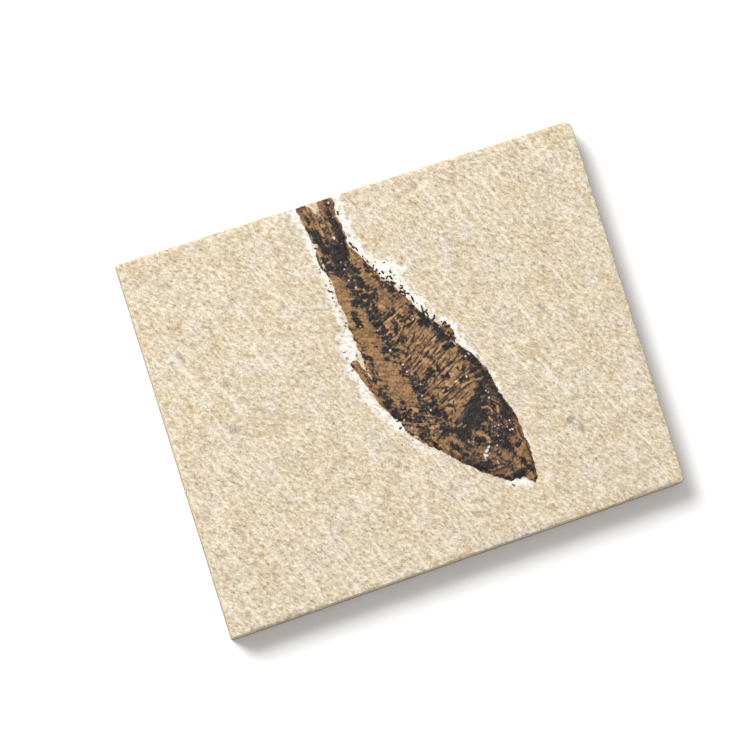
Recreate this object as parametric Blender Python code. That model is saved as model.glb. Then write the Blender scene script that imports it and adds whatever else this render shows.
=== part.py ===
"""Fossil fish slab: a hand-sawn plate of limestone, split face up, with a flattened fish in low relief.

Metres, +Z up. The plate lies on z = 0 with its split face up, and the origin is the middle of its
underside. +X runs along the plate's long side and +Y along its short side. The fish lies with its
back towards -X and its belly towards +X, and its tail is cut off at the plate's +Y side.
"""
import math

import bmesh
import bpy
import numpy as np
from mathutils import Vector, noise

MM = 0.001

# Plate, driving dimensions
THICKNESS = 8.0 * MM
# The split face's corners, (x, y) in millimetres: sawn by hand, a little out of square
FACE_LEFT_BACK = (-63.1, 50.8)
FACE_RIGHT_BACK = (64.1, 51.6)
FACE_RIGHT_FRONT = (62.7, -49.4)
FACE_LEFT_FRONT = (-64.1, -51.6)
# How far the foot of the sawn sides stands out past the face, on the short and on the long sides
LEAN_X = 0.2 * MM
LEAN_Y = 0.6 * MM
WORN_CORNER_RADIUS = 2.3 * MM
SHARP_CORNER_RADIUS = 0.7 * MM
ARRIS_WIDTH = 0.45 * MM
ARRIS_DEPTH = 0.6 * MM
CHIP_LENGTH = 9.0 * MM
CHIP_VARIATION = 0.8
FOOT_CHAMFER = 0.3 * MM
PLATE_COLUMNS = 41
PLATE_ROWS = 33
# Distance of the first grid lines from the plate's sides, in millimetres
LINES_BESIDE_EDGE = (0.0, 0.7, 1.6, 3.0)

# Split face: broad swells, short ledges, and the channel scraped round the fish
SWELL_HEIGHT = 0.2 * MM
SWELL_LENGTH = 34.0 * MM
LEDGE_HEIGHT = 0.22 * MM
LEDGE_LENGTH = 7.0 * MM
SCRAPE_DEPTH = 0.28 * MM
SCRAPE_WIDTH = 3.0 * MM

# The fish's bed in the plate
GAP = 0.3 * MM
FISH_UNDERSIDE = THICKNESS - 0.9 * MM
BED_FLOOR = FISH_UNDERSIDE - GAP
# Past the plate's +Y side, so that the bed runs out through it where the tail is cut off
BED_RUNOUT_Y = 54.0 * MM

# Lines across the fish from snout to tail, each bent where it crosses the backbone, as the spines and
# ribs are. (x, y) in millimetres: on the back, on the backbone, on the belly.
BODY_STATIONS = (
    ((23.4, -36.5), (24.3, -37.3), (25.3, -36.5)),
    ((19.6, -35.2), (22.0, -33.8), (25.5, -33.6)),
    ((13.8, -32.2), (18.4, -29.2), (25.7, -28.0)),
    ((7.6, -26.6), (14.0, -23.6), (25.2, -21.6)),
    ((1.6, -20.3), (9.6, -17.8), (24.2, -15.8)),
    ((-4.0, -14.4), (6.0, -12.4), (22.5, -10.0)),
    ((-6.3, -8.4), (4.0, -7.4), (21.6, -4.8)),
    ((-7.7, -2.4), (2.4, -2.2), (19.4, -0.6)),
    ((-8.8, 4.0), (0.8, 3.2), (16.2, 4.0)),
    ((-9.3, 10.0), (-1.0, 8.8), (14.2, 9.6)),
    ((-9.8, 16.6), (-2.8, 14.8), (9.0, 15.4)),
    ((-10.3, 24.0), (-4.2, 21.8), (5.0, 23.0)),
    ((-11.0, 31.0), (-6.0, 29.4), (0.4, 30.6)),
    ((-11.9, 37.6), (-7.1, 37.2), (-3.0, 37.6)),
    ((-12.5, 44.0), (-7.8, 44.0), (-3.6, 44.0)),
    ((-13.6, 50.9), (-8.7, 50.9), (-3.6, 50.9)),
)
# Stations where the head ends, the scutes end and the tail's rays begin, and over how much of a station
GILL_STATION = 4.6
GILL_FADE = 0.4
LAST_SCUTE_STATION = 9
TAIL_STATION = 14
TAIL_FADE = 1.5
# Rows of the mesh from one station to the next: closer in the head, whose bones are finer
HEAD_STATIONS = 5
HEAD_ROWS = 9
TRUNK_ROWS = 6
BACK_COLUMNS = 9
BELLY_COLUMNS = 13
# The fork between the tail's lobes, (x, y) in millimetres along its margin
TAIL_FORK = ((-11.2, 50.9), (-9.3, 48.4), (-8.1, 47.9), (-7.5, 50.9))

# The dorsal fin, folded back beside the body: left and right edge from its tip to its root
DORSAL_FIN_STATIONS = (
    ((-12.3, 7.2), (-10.6, 7.6)),
    ((-11.8, 4.0), (-9.8, 4.6)),
    ((-10.6, 0.6), (-8.2, 1.2)),
    ((-9.2, -3.2), (-6.4, -2.4)),
    ((-7.4, -7.4), (-4.4, -6.4)),
    ((-5.6, -10.4), (-3.4, -9.0)),
)
FIN_COLUMNS = 5
FIN_ROWS = 2

# Relief of the fish above the plate's face
RIM_HEIGHT = 0.12 * MM
RIM_ROUNDNESS = 5
FILM_HEIGHT = 0.42 * MM
HEAD_RISE = 0.22 * MM
BACKBONE_RISE = 0.26 * MM
BACKBONE_HALF_WIDTH = 1.3 * MM
# Where ribs, spines and belly scutes rise and die out, between the backbone at 0 and the edge at 1
RIB_START = (0.1, 0.25)
RIB_END = (0.8, 0.95)
SCUTE_START = (0.8, 0.92)
RIB_RISE = 0.16 * MM
SPINE_RISE = 0.08 * MM
SCUTE_RISE = 0.22 * MM
RAY_RISE = 0.14 * MM
FIN_SWELL = 0.18 * MM
GILL_COVER_CENTRE = (15.6, -18.6)
GILL_COVER_RADIUS = 6.4 * MM
GILL_COVER_RISE = 0.3 * MM
GILL_COVER_SLOPE = 1.2 * MM
ORBIT_CENTRE = (18.8, -28.0)
ORBIT_RADIUS = 2.2 * MM
ORBIT_RIM_RISE = 0.26 * MM
ORBIT_RIM_HALF_WIDTH = 0.7 * MM
ORBIT_DIP = 0.2 * MM
ORBIT_DIP_RADIUS = 1.3 * MM
# Bars of bone in the head: start, end, and half width in millimetres
HEAD_BARS = (
    ((16.4, -23.6), (22.2, -29.6), 0.7),
    ((22.8, -30.0), (24.8, -34.8), 0.8),
    ((13.6, -31.4), (20.6, -31.6), 0.6),
    ((9.6, -27.8), (15.6, -29.6), 0.9),
)
BAR_RISE = 0.2 * MM


def clear_scene():
    for item in list(bpy.data.objects):
        bpy.data.objects.remove(item, do_unlink=True)


def make_material(name, colour, roughness):
    material = bpy.data.materials.new(name)
    material.use_nodes = True
    shader = material.node_tree.nodes["Principled BSDF"]
    shader.inputs["Base Color"].default_value = (*colour, 1.0)
    shader.inputs["Roughness"].default_value = roughness
    shader.inputs["Metallic"].default_value = 0.0
    return material


def add_object(name, bm, material=None):
    bmesh.ops.recalc_face_normals(bm, faces=bm.faces)
    mesh = bpy.data.meshes.new(name)
    bm.to_mesh(mesh)
    bm.free()
    item = bpy.data.objects.new(name, mesh)
    bpy.context.scene.collection.objects.link(item)
    if material:
        mesh.materials.append(material)
    return item


def as_guide(item):
    item.hide_render = True
    item.display_type = "WIRE"


def add_boolean(item, guide, operation):
    modifier = item.modifiers.new(operation.lower(), "BOOLEAN")
    modifier.operation = operation
    modifier.solver = "EXACT"
    modifier.object = guide


def smoothstep(low, high, value):
    t = min(max((value - low) / (high - low), 0.0), 1.0)
    return t * t * (3.0 - 2.0 * t)


def bump(distance, width):
    return math.exp(-(distance / width) ** 2)


def smooth_curve(points, places):
    """Points on a Catmull-Rom curve through points given in millimetres, as (x, y) rows in metres.

    places count along the given points: 0 is the first one, 1 the second, 1.5 halfway to the third.
    """
    known = np.array(points) * MM
    known = np.vstack([2 * known[0] - known[1], known, 2 * known[-1] - known[-2]])
    rows = []
    for place in places:
        segment = min(int(place), len(points) - 2)
        before, start, end, after = known[segment:segment + 4]
        t = place - segment
        rows.append(0.5 * (2 * start + (end - before) * t
                           + (2 * before - 5 * start + 4 * end - after) * t ** 2
                           + (3 * start - before - 3 * end + after) * t ** 3))
    return np.array(rows)


def distance_to_segment(x, y, start, end):
    start = Vector(start) * MM
    along = Vector(end) * MM - start
    place = Vector((x, y)) - start
    t = min(max(place.dot(along) / along.length_squared, 0.0), 1.0)
    return (place - along * t).length


def tail_margin(x):
    """The y of the tail's end at x: straight where it is sawn off, and notched at the fork."""
    fork_x, fork_y = (np.array(TAIL_FORK) * MM).T
    return float(np.interp(x, fork_x, fork_y))


def body_relief(row, station, side, place, from_backbone):
    """Height of the fish above the face. side runs from -1 on the back over the backbone to 1."""
    reach = abs(side)
    on_rib = row % 2
    trunk = smoothstep(GILL_STATION - GILL_FADE, GILL_STATION + GILL_FADE, station)
    tail = smoothstep(TAIL_STATION - TAIL_FADE, TAIL_STATION, station)
    height = RIM_HEIGHT + (FILM_HEIGHT - RIM_HEIGHT) * (1.0 - reach ** RIM_ROUNDNESS)
    height += HEAD_RISE * (1.0 - trunk) * (1.0 - reach ** 2)
    height += BACKBONE_RISE * trunk * bump(from_backbone, BACKBONE_HALF_WIDTH)
    ribs = trunk * (1.0 - tail) * smoothstep(*RIB_START, reach) * (1.0 - smoothstep(*RIB_END, reach))
    height += (RIB_RISE if side > 0 else SPINE_RISE) * ribs * on_rib
    scutes = trunk * (1.0 - smoothstep(LAST_SCUTE_STATION, LAST_SCUTE_STATION + 1, station))
    height += SCUTE_RISE * scutes * smoothstep(*SCUTE_START, side) * (1 + on_rib) / 2.0
    column = round(side * (BELLY_COLUMNS if side > 0 else BACK_COLUMNS))
    height += RAY_RISE * tail * (column % 2)
    return height + head_relief(*place)


def head_relief(x, y):
    """Gill cover, rim of the eye socket and the bars of the skull and jaws."""
    place = Vector((x, y))
    from_gill = (place - Vector(GILL_COVER_CENTRE) * MM).length
    height = GILL_COVER_RISE * smoothstep(GILL_COVER_RADIUS, GILL_COVER_RADIUS - GILL_COVER_SLOPE, from_gill)
    from_eye = (place - Vector(ORBIT_CENTRE) * MM).length
    height += ORBIT_RIM_RISE * bump(from_eye - ORBIT_RADIUS, ORBIT_RIM_HALF_WIDTH)
    height -= ORBIT_DIP * bump(from_eye, ORBIT_DIP_RADIUS)
    for start, end, half_width in HEAD_BARS:
        height += BAR_RISE * bump(distance_to_segment(x, y, start, end), half_width * MM)
    return height


def open_border(bm):
    return [edge for edge in bm.edges if edge.is_boundary]


def drop_ring(bm, level, outward=Vector((0.0, 0.0)), half_sides=Vector((1.0, 1.0))):
    """Extrude the open border down to z = level, and out by so much at half_sides from the middle."""
    made = bmesh.ops.extrude_edge_only(bm, edges=open_border(bm))["geom"]
    for vert in made:
        if isinstance(vert, bmesh.types.BMVert):
            vert.co.x *= 1.0 + outward.x / half_sides.x
            vert.co.y *= 1.0 + outward.y / half_sides.y
            vert.co.z = level


def close_below(bm, bottom):
    """Drop a wall from the open border of a surface to z = bottom, and close it with a flat underside."""
    drop_ring(bm, bottom)
    bmesh.ops.edgeloop_fill(bm, edges=open_border(bm))


def grid_place(vert, columns, rows):
    """The column and row of a vertex of a fresh two by two grid."""
    return round((vert.co.x + 1.0) / 2.0 * columns), round((vert.co.y + 1.0) / 2.0 * rows)


def row_stations():
    """The station at which each row of the fish lies, counted from the snout."""
    last = len(BODY_STATIONS) - 1
    head = np.arange(HEAD_STATIONS * HEAD_ROWS) / HEAD_ROWS
    trunk = HEAD_STATIONS + np.arange((last - HEAD_STATIONS) * TRUNK_ROWS + 1) / TRUNK_ROWS
    return np.concatenate([head, trunk])


def body_point(back, spine, belly, column):
    """A point on one row, and how far it is from the backbone: -1 on the back, 1 on the belly."""
    if column <= BACK_COLUMNS:
        side = column / BACK_COLUMNS - 1.0
        return spine + (back - spine) * -side, side
    side = (column - BACK_COLUMNS) / BELLY_COLUMNS
    return spine + (belly - spine) * side, side


def build_body(material):
    columns = BACK_COLUMNS + BELLY_COLUMNS
    stations = row_stations()
    rows = len(stations) - 1
    backs, spines, bellies = [smooth_curve(line, stations) for line in zip(*BODY_STATIONS)]
    tail_root_y = BODY_STATIONS[TAIL_STATION][1][1] * MM
    tail_end_y = BODY_STATIONS[-1][1][1] * MM
    bm = bmesh.new()
    bmesh.ops.create_grid(bm, x_segments=columns, y_segments=rows, size=1.0)
    for vert in bm.verts:
        column, row = grid_place(vert, columns, rows)
        (x, y), side = body_point(backs[row], spines[row], bellies[row], column)
        from_backbone = math.dist((x, y), spines[row])
        if stations[row] > TAIL_STATION:
            y = tail_root_y + (y - tail_root_y) * (tail_margin(x) - tail_root_y) / (tail_end_y - tail_root_y)
        height = body_relief(row, stations[row], side, (x, y), from_backbone)
        vert.co = (x, y, THICKNESS + height)
    close_below(bm, FISH_UNDERSIDE)
    return add_object("fossil_fish", bm, material)


def build_fin():
    """The dorsal fin, a guide that is joined to the body."""
    rows = (len(DORSAL_FIN_STATIONS) - 1) * FIN_ROWS
    places = np.arange(rows, -1, -1) / FIN_ROWS
    lefts, rights = [smooth_curve(edge, places) for edge in zip(*DORSAL_FIN_STATIONS)]
    bm = bmesh.new()
    bmesh.ops.create_grid(bm, x_segments=FIN_COLUMNS, y_segments=rows, size=1.0)
    for vert in bm.verts:
        column, row = grid_place(vert, FIN_COLUMNS, rows)
        across = column / FIN_COLUMNS
        x, y = lefts[row] * (1.0 - across) + rights[row] * across
        height = RIM_HEIGHT + FIN_SWELL * math.sin(math.pi * across) + RAY_RISE * (column % 2)
        vert.co = (x, y, THICKNESS + height)
    close_below(bm, FISH_UNDERSIDE)
    fin = add_object("dorsal_fin_guide", bm)
    as_guide(fin)
    return fin


def underside_outline(item):
    """The corners of an object's flat underside, in order, anticlockwise seen from above."""
    underside = min(item.data.polygons, key=lambda face: face.normal.z * len(face.vertices))
    outline = [item.data.vertices[i].co.copy() for i in underside.vertices]
    return outline[::-1]


def grown_outline(outline, gap):
    """The outline moved out by gap, each corner along the bisector of its two sides."""
    grown = []
    for before, corner, after in zip(outline[-1:] + outline[:-1], outline, outline[1:] + outline[:1]):
        normals = []
        for start, end in ((before, corner), (corner, after)):
            along = (end - start).normalized()
            normals.append(Vector((along.y, -along.x)))
        bisector = (normals[0] + normals[1]) / max(1.0 + normals[0].dot(normals[1]), 0.5)
        grown.append(corner.xy + bisector * gap)
    return grown


def build_bed(name, item):
    """The prism that is cut out of the plate round one piece of the fish."""
    bm = bmesh.new()
    verts = []
    for x, y in grown_outline(underside_outline(item), GAP):
        if y > tail_sawn_y():
            y = BED_RUNOUT_Y
        verts.append(bm.verts.new((x, y, BED_FLOOR)))
    face = bm.faces.new(verts)
    raised = bmesh.ops.extrude_face_region(bm, geom=[face])["geom"]
    lifted = [vert for vert in raised if isinstance(vert, bmesh.types.BMVert)]
    bmesh.ops.translate(bm, verts=lifted, vec=(0.0, 0.0, 2.0 * THICKNESS))
    bed = add_object(name, bm)
    as_guide(bed)
    return bed


def tail_sawn_y():
    """Above this y, the outline of the bed belongs to the sawn end of the tail's lobes."""
    return (TAIL_FORK[0][1] - 0.2) * MM


def packed_lines(count, length):
    """Places of grid lines from 0 to 1, close together beside the two ends."""
    near = np.array(LINES_BESIDE_EDGE) * MM / length
    middle = np.linspace(near[-1], 1.0 - near[-1], count + 1 - 2 * (len(near) - 1))
    return np.concatenate([near[:-1], middle, 1.0 - near[-2::-1]])


def rounded_place(across, along, length, width):
    """Pull a point of the plate's rectangle in, so that its corners are round."""
    x, y = across * length, along * width
    right, back = across > 0.5, along > 0.5
    radius = WORN_CORNER_RADIUS if right and back else SHARP_CORNER_RADIUS
    centre = Vector((length - radius if right else radius, width - radius if back else radius))
    away = Vector((x, y)) - centre
    in_corner = (away.x > 0) == right and (away.y > 0) == back and away.x and away.y
    if in_corner:
        away *= max(abs(away.x), abs(away.y)) / away.length
        x, y = centre + away
    return x / length, y / width


def face_height(x, y, outline):
    """The split face: swells, short ledges, and the channel scraped round the fish."""
    place = Vector((x, y, 0.0))
    height = THICKNESS + SWELL_HEIGHT * noise.noise(place / SWELL_LENGTH)
    height += LEDGE_HEIGHT * noise.noise(place / LEDGE_LENGTH + Vector((7.0, 3.0, 1.0)))
    near = np.min(np.hypot(outline[:, 0] - x, outline[:, 1] - y))
    return height - SCRAPE_DEPTH * bump(near, SCRAPE_WIDTH)


def build_plate(material, outline):
    left_back, right_back, right_front, left_front = [
        Vector(corner) * MM for corner in (FACE_LEFT_BACK, FACE_RIGHT_BACK, FACE_RIGHT_FRONT, FACE_LEFT_FRONT)]
    length = (right_front - left_front).length
    width = (left_back - left_front).length
    columns_at = packed_lines(PLATE_COLUMNS, length)
    rows_at = packed_lines(PLATE_ROWS, width)
    bm = bmesh.new()
    bmesh.ops.create_grid(bm, x_segments=PLATE_COLUMNS, y_segments=PLATE_ROWS, size=1.0)
    half_sides = Vector((length / 2.0, width / 2.0))
    for vert in bm.verts:
        column, row = grid_place(vert, PLATE_COLUMNS, PLATE_ROWS)
        across, along = rounded_place(columns_at[column], rows_at[row], length, width)
        front = left_front.lerp(right_front, across)
        back = left_back.lerp(right_back, across)
        x, y = front.lerp(back, along)
        x /= 1.0 + ARRIS_WIDTH / half_sides.x
        y /= 1.0 + ARRIS_WIDTH / half_sides.y
        height = face_height(x, y, outline)
        if vert.is_boundary:
            chipping = CHIP_VARIATION * noise.noise(Vector((x, y, 0.0)) / CHIP_LENGTH)
            height -= ARRIS_DEPTH / 2.0 * (1.0 + chipping)
        vert.co = (x, y, height)
    # The sides: worn arris, leaning sawn face, chamfer at the foot, flat underside
    drop_ring(bm, THICKNESS - 2.0 * ARRIS_DEPTH, Vector((ARRIS_WIDTH, ARRIS_WIDTH)), half_sides)
    drop_ring(bm, FOOT_CHAMFER, Vector((LEAN_X, LEAN_Y)), half_sides)
    drop_ring(bm, 0.0, Vector((-FOOT_CHAMFER, -FOOT_CHAMFER)), half_sides)
    bmesh.ops.edgeloop_fill(bm, edges=open_border(bm))
    return add_object("limestone_slab", bm, material)


def main():
    clear_scene()
    limestone = make_material("limestone", (0.76, 0.66, 0.48), 0.85)
    fossil_bone = make_material("fossil_bone", (0.16, 0.09, 0.045), 0.55)
    fish = build_body(fossil_bone)
    fin = build_fin()
    outline = np.array([corner.xy for corner in underside_outline(fish)])
    plate = build_plate(limestone, outline)
    for name, item in (("body_bed_guide", fish), ("fin_bed_guide", fin)):
        add_boolean(plate, build_bed(name, item), "DIFFERENCE")
    add_boolean(fish, fin, "UNION")


main()
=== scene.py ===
import bmesh
import bpy
import numpy as np
from mathutils import Matrix, Vector, noise


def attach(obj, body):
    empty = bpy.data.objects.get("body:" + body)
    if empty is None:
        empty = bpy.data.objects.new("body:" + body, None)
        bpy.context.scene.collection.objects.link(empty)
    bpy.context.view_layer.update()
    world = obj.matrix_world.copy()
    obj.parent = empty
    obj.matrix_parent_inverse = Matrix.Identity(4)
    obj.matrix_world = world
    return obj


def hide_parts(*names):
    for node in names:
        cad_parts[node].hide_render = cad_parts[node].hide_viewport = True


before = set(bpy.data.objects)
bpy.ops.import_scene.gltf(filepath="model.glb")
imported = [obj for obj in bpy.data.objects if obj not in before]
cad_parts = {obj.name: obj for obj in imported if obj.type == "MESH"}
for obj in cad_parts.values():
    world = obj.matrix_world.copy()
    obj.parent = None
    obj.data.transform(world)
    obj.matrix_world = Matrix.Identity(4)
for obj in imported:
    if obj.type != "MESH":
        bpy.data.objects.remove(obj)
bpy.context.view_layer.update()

MM = 0.001

# Plate, as in the frame
THICKNESS = 8.0
FACE_CORNERS = {"left_front": (-64.1, -51.6), "right_front": (62.7, -49.4),
                "left_back": (-63.1, 50.8), "right_back": (64.1, 51.6)}
HALF_LENGTH = (FACE_CORNERS["right_front"][0] - FACE_CORNERS["left_front"][0]) / 2.0
HALF_WIDTH = (FACE_CORNERS["left_back"][1] - FACE_CORNERS["left_front"][1]) / 2.0
ARRIS_WIDTH = 0.45
# The worn arris, in the colours of the face, ends at this level
ARRIS_FOOT = 6.9
LEAN_X = 0.2
LEAN_Y = 0.6
FOOT_CHAMFER = 0.3
WORN_CORNER_RADIUS = 2.3
SHARP_CORNER_RADIUS = 0.7
GRID_COLUMNS = 312
GRID_ROWS = 252
# Levels at which the sawn sides have a ring of points, from the face down
SIDE_LEVELS = (7.72, 7.3, 6.6, 5.6, 4.5, 3.4, 2.3, 1.2, 0.3, 0.0)

# Split face
SWELL_HEIGHT = 0.2
SWELL_LENGTH = 34.0
LEDGE_HEIGHT = 0.22
LEDGE_LENGTH = 7.0
SCRAPE_DEPTH = 0.28
SCRAPE_REACH = 3.0
GRAIN_HEIGHT = 0.05
GRAIN_LENGTH = 1.5
GRAIN_WIDTH = 0.8
# The grain runs down to the right in the face, at this angle from +X
GRAIN_ANGLE = -47.0
SCRATCH_ANGLE = -68.0
BED_DEPTH = 0.5

# Fish: its grid, how far its underside lies below the face, and its relief
FISH_STEP = 0.133
FISH_LOW = (-14.6, -38.2)
FISH_HIGH = (27.0, 51.4)
FISH_UNDERSIDE = 7.1
FILM_RISE = 0.36
RIM_RISE = 0.07
RIM_RUN = 1.3
BLACK_BONE_RISE = 0.09
HEAD_RISE = 0.22
BACKBONE_RISE = 0.2
BACKBONE_HALF_WIDTH = 1.3
VERTEBRA_LENGTH = 1.9
GILL_COVER_CENTRE = (15.6, -18.6)
GILL_COVER_RADIUS = 6.4
GILL_COVER_RISE = 0.24
ORBIT_CENTRE = (18.8, -28.0)
ORBIT_RADIUS = 2.2
ORBIT_RIM_RISE = 0.2

# The fish's outline, (x, y) in millimetres: down its back from the tail to the snout
BACK_EDGE = (
    (-13.6, 52.0), (-13.5, 50.2), (-13.1, 47.8), (-13.0, 46.0), (-12.5, 44.0), (-12.25, 42.0),
    (-12.35, 40.6), (-11.4, 40.1), (-11.1, 39.2), (-11.5, 38.5), (-12.2, 37.5), (-12.35, 35.6),
    (-11.9, 33.6), (-11.1, 32.1), (-10.9, 31.0), (-10.4, 29.6), (-10.3, 28.0), (-10.5, 26.0),
    (-10.5, 24.2), (-10.1, 22.0), (-9.8, 20.0), (-9.7, 18.0), (-10.1, 16.4), (-9.6, 15.0), (-9.6, 13.2),
    (-9.1, 12.0), (-9.5, 11.0), (-9.1, 9.8), (-9.2, 8.2), (-8.9, 7.0), (-9.1, 6.2), (-8.9, 5.2),
    (-9.0, 4.4), (-8.5, 3.0), (-8.35, 2.2), (-8.8, 1.0), (-8.8, -1.5), (-8.6, -4.0), (-7.9, -6.2),
    (-6.9, -8.2), (-6.2, -9.8), (-5.4, -10.9), (-4.6, -11.3), (-4.3, -12.6), (-4.1, -13.9),
    (-3.5, -15.2), (-2.5, -16.5), (-1.5, -17.7), (-0.8, -18.6), (0.2, -19.0), (0.5, -19.8),
    (1.8, -20.6), (2.3, -21.4), (3.4, -22.0), (4.6, -23.3), (5.8, -24.6), (6.7, -25.8), (8.0, -27.2),
    (9.8, -28.4), (10.8, -29.8), (12.4, -31.0), (14.0, -32.2), (15.8, -33.4), (17.5, -34.6),
    (18.8, -35.3), (19.6, -34.9), (20.7, -35.4), (21.3, -35.0), (22.2, -35.0), (23.1, -36.3),
    (24.2, -37.3),
)
# Up its belly from the snout to the tail
BELLY_EDGE = (
    (25.3, -36.5), (25.5, -34.5), (25.6, -32.0), (25.8, -30.0), (25.9, -28.0), (25.6, -26.4), (25.4, -24.4),
    (25.3, -22.0), (25.1, -19.4), (24.6, -17.6), (24.1, -15.6), (23.5, -14.4), (23.2, -12.8), (22.5, -11.8),
    (22.5, -10.4), (22.2, -8.4), (21.9, -6.6), (21.4, -4.8), (20.3, -2.7), (19.7, -1.4), (19.0, 0.4),
    (18.0, 1.3), (16.9, 2.8), (16.0, 3.8), (15.9, 5.0), (16.1, 6.5), (15.9, 8.4), (15.0, 9.6), (14.2, 9.7),
    (13.4, 9.3), (13.1, 10.3), (12.3, 11.0), (11.4, 11.9), (10.6, 13.2), (9.9, 14.4), (8.9, 15.4),
    (8.5, 16.6), (7.7, 18.4), (6.9, 19.8), (6.0, 21.0), (5.4, 22.6), (4.8, 24.0), (3.7, 25.2), (2.6, 25.3),
    (1.9, 27.2), (1.2, 28.6), (0.8, 30.2), (0.0, 31.3), (-0.7, 33.0), (-1.4, 33.9), (-2.0, 34.9),
    (-2.6, 35.9),
    (-3.1, 36.9), (-3.4, 38.2), (-3.1, 39.4), (-3.1, 40.6), (-3.4, 42.0), (-3.1, 43.2), (-3.7, 44.4),
    (-4.1, 45.6), (-3.7, 47.0), (-3.9, 47.9), (-3.2, 48.8), (-3.7, 50.2), (-3.7, 52.0),
)
# The fork between the tail's lobes, from the right lobe to the left one
FORK_EDGE = (
    (-7.6, 52.0), (-7.8, 49.4), (-8.0, 48.2), (-8.7, 47.8), (-9.3, 48.3), (-9.9, 49.5),
    (-10.8, 50.4), (-11.0, 52.0),
)
FIN_EDGE = (
    (-11.6, 7.7), (-12.5, 7.0), (-12.1, 5.5), (-11.3, 3.6), (-10.6, 1.0), (-9.8, -0.8), (-9.2, -2.4),
    (-8.8, -4.4),
    (-7.6, -6.6), (-6.6, -6.0), (-8.0, -1.0), (-8.5, 1.7), (-9.0, 3.4), (-9.7, 5.2), (-10.4, 7.3),
)
BACKBONE = (
    (-8.7, 51.0), (-7.7, 44.0), (-7.2, 38.0), (-6.6, 32.0), (-6.0, 30.0), (-4.7, 26.0), (-3.8, 22.0),
    (-3.2, 18.0), (-2.4, 14.5), (-0.8, 10.5), (0.2, 7.0), (0.8, 4.0), (1.6, 0.0), (2.9, -4.0), (3.8, -8.0),
    (5.0, -12.0), (6.6, -15.0), (9.0, -18.4),
)

# Markings, painted one over the other: how dark (0 pale tan film, 1 black bone), how mottled, and the
# strokes, each a width and the points it runs through, in millimetres
WASHES = (
    (0.55, 0.40, ((4.4, (-8.0, 47.0), (-7.8, 40.0)),)),
    (0.50, 0.30, ((1.6, (-12.8, 50.8), (-12.0, 49.0)), (2.0, (-11.5, 48.0), (-11.4, 46.4)),
                  (1.0, (-10.9, 48.3), (-10.2, 47.6)))),
    (0.80, 0.30, ((5.6, (-8.4, 38.0), (-7.8, 33.4), (-6.2, 30.2)), (2.6, (-10.4, 35.4), (-10.2, 32.4)))),
    (0.66, 0.50, ((3.2, (-5.6, 29.0), (-4.6, 26.0), (-3.6, 22.0), (-2.8, 18.0), (-2.0, 14.0), (-0.6, 10.0),
                   (0.3, 7.0)),)),
    (0.66, 0.50, ((3.6, (0.5, 5.0), (1.6, 0.0), (2.9, -4.6), (4.0, -9.0), (5.2, -13.0), (7.0, -17.0)),)),
    (0.42, 0.30, ((3.4, (4.6, 23.0), (5.2, 20.0), (7.0, 17.2)), (2.4, (0.6, 28.8), (2.0, 25.0)))),
    (0.45, 0.45, ((6.0, (-0.2, 12.6), (4.6, 14.6), (8.4, 14.0)),)),
    (0.30, 0.22, ((9.0, (5.0, 6.0), (11.0, 3.0), (12.0, -4.0), (11.0, -9.0)),)),
    (0.52, 0.42, ((5.0, (-3.2, -12.0), (0.6, -15.6), (3.4, -17.4)), (3.0, (-0.6, -9.6), (3.0, -13.0)))),
    (0.62, 0.30, ((9.0, (5.6, -21.6), (10.0, -25.6), (14.0, -28.8), (18.0, -32.0)),)),
    (0.80, 0.34, ((7.0, (20.6, -10.0), (20.8, -16.0), (19.4, -21.0), (20.6, -25.0)),)),
    (0.86, 0.16, ((2.6, (12.4, 9.4), (13.2, 5.4)), (2.2, (16.6, 2.2), (18.6, -2.0), (20.4, -6.0),
                                                   (21.3, -10.0),
                  (22.5, -14.0), (23.4, -17.4), (24.2, -20.4)))),
)
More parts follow.
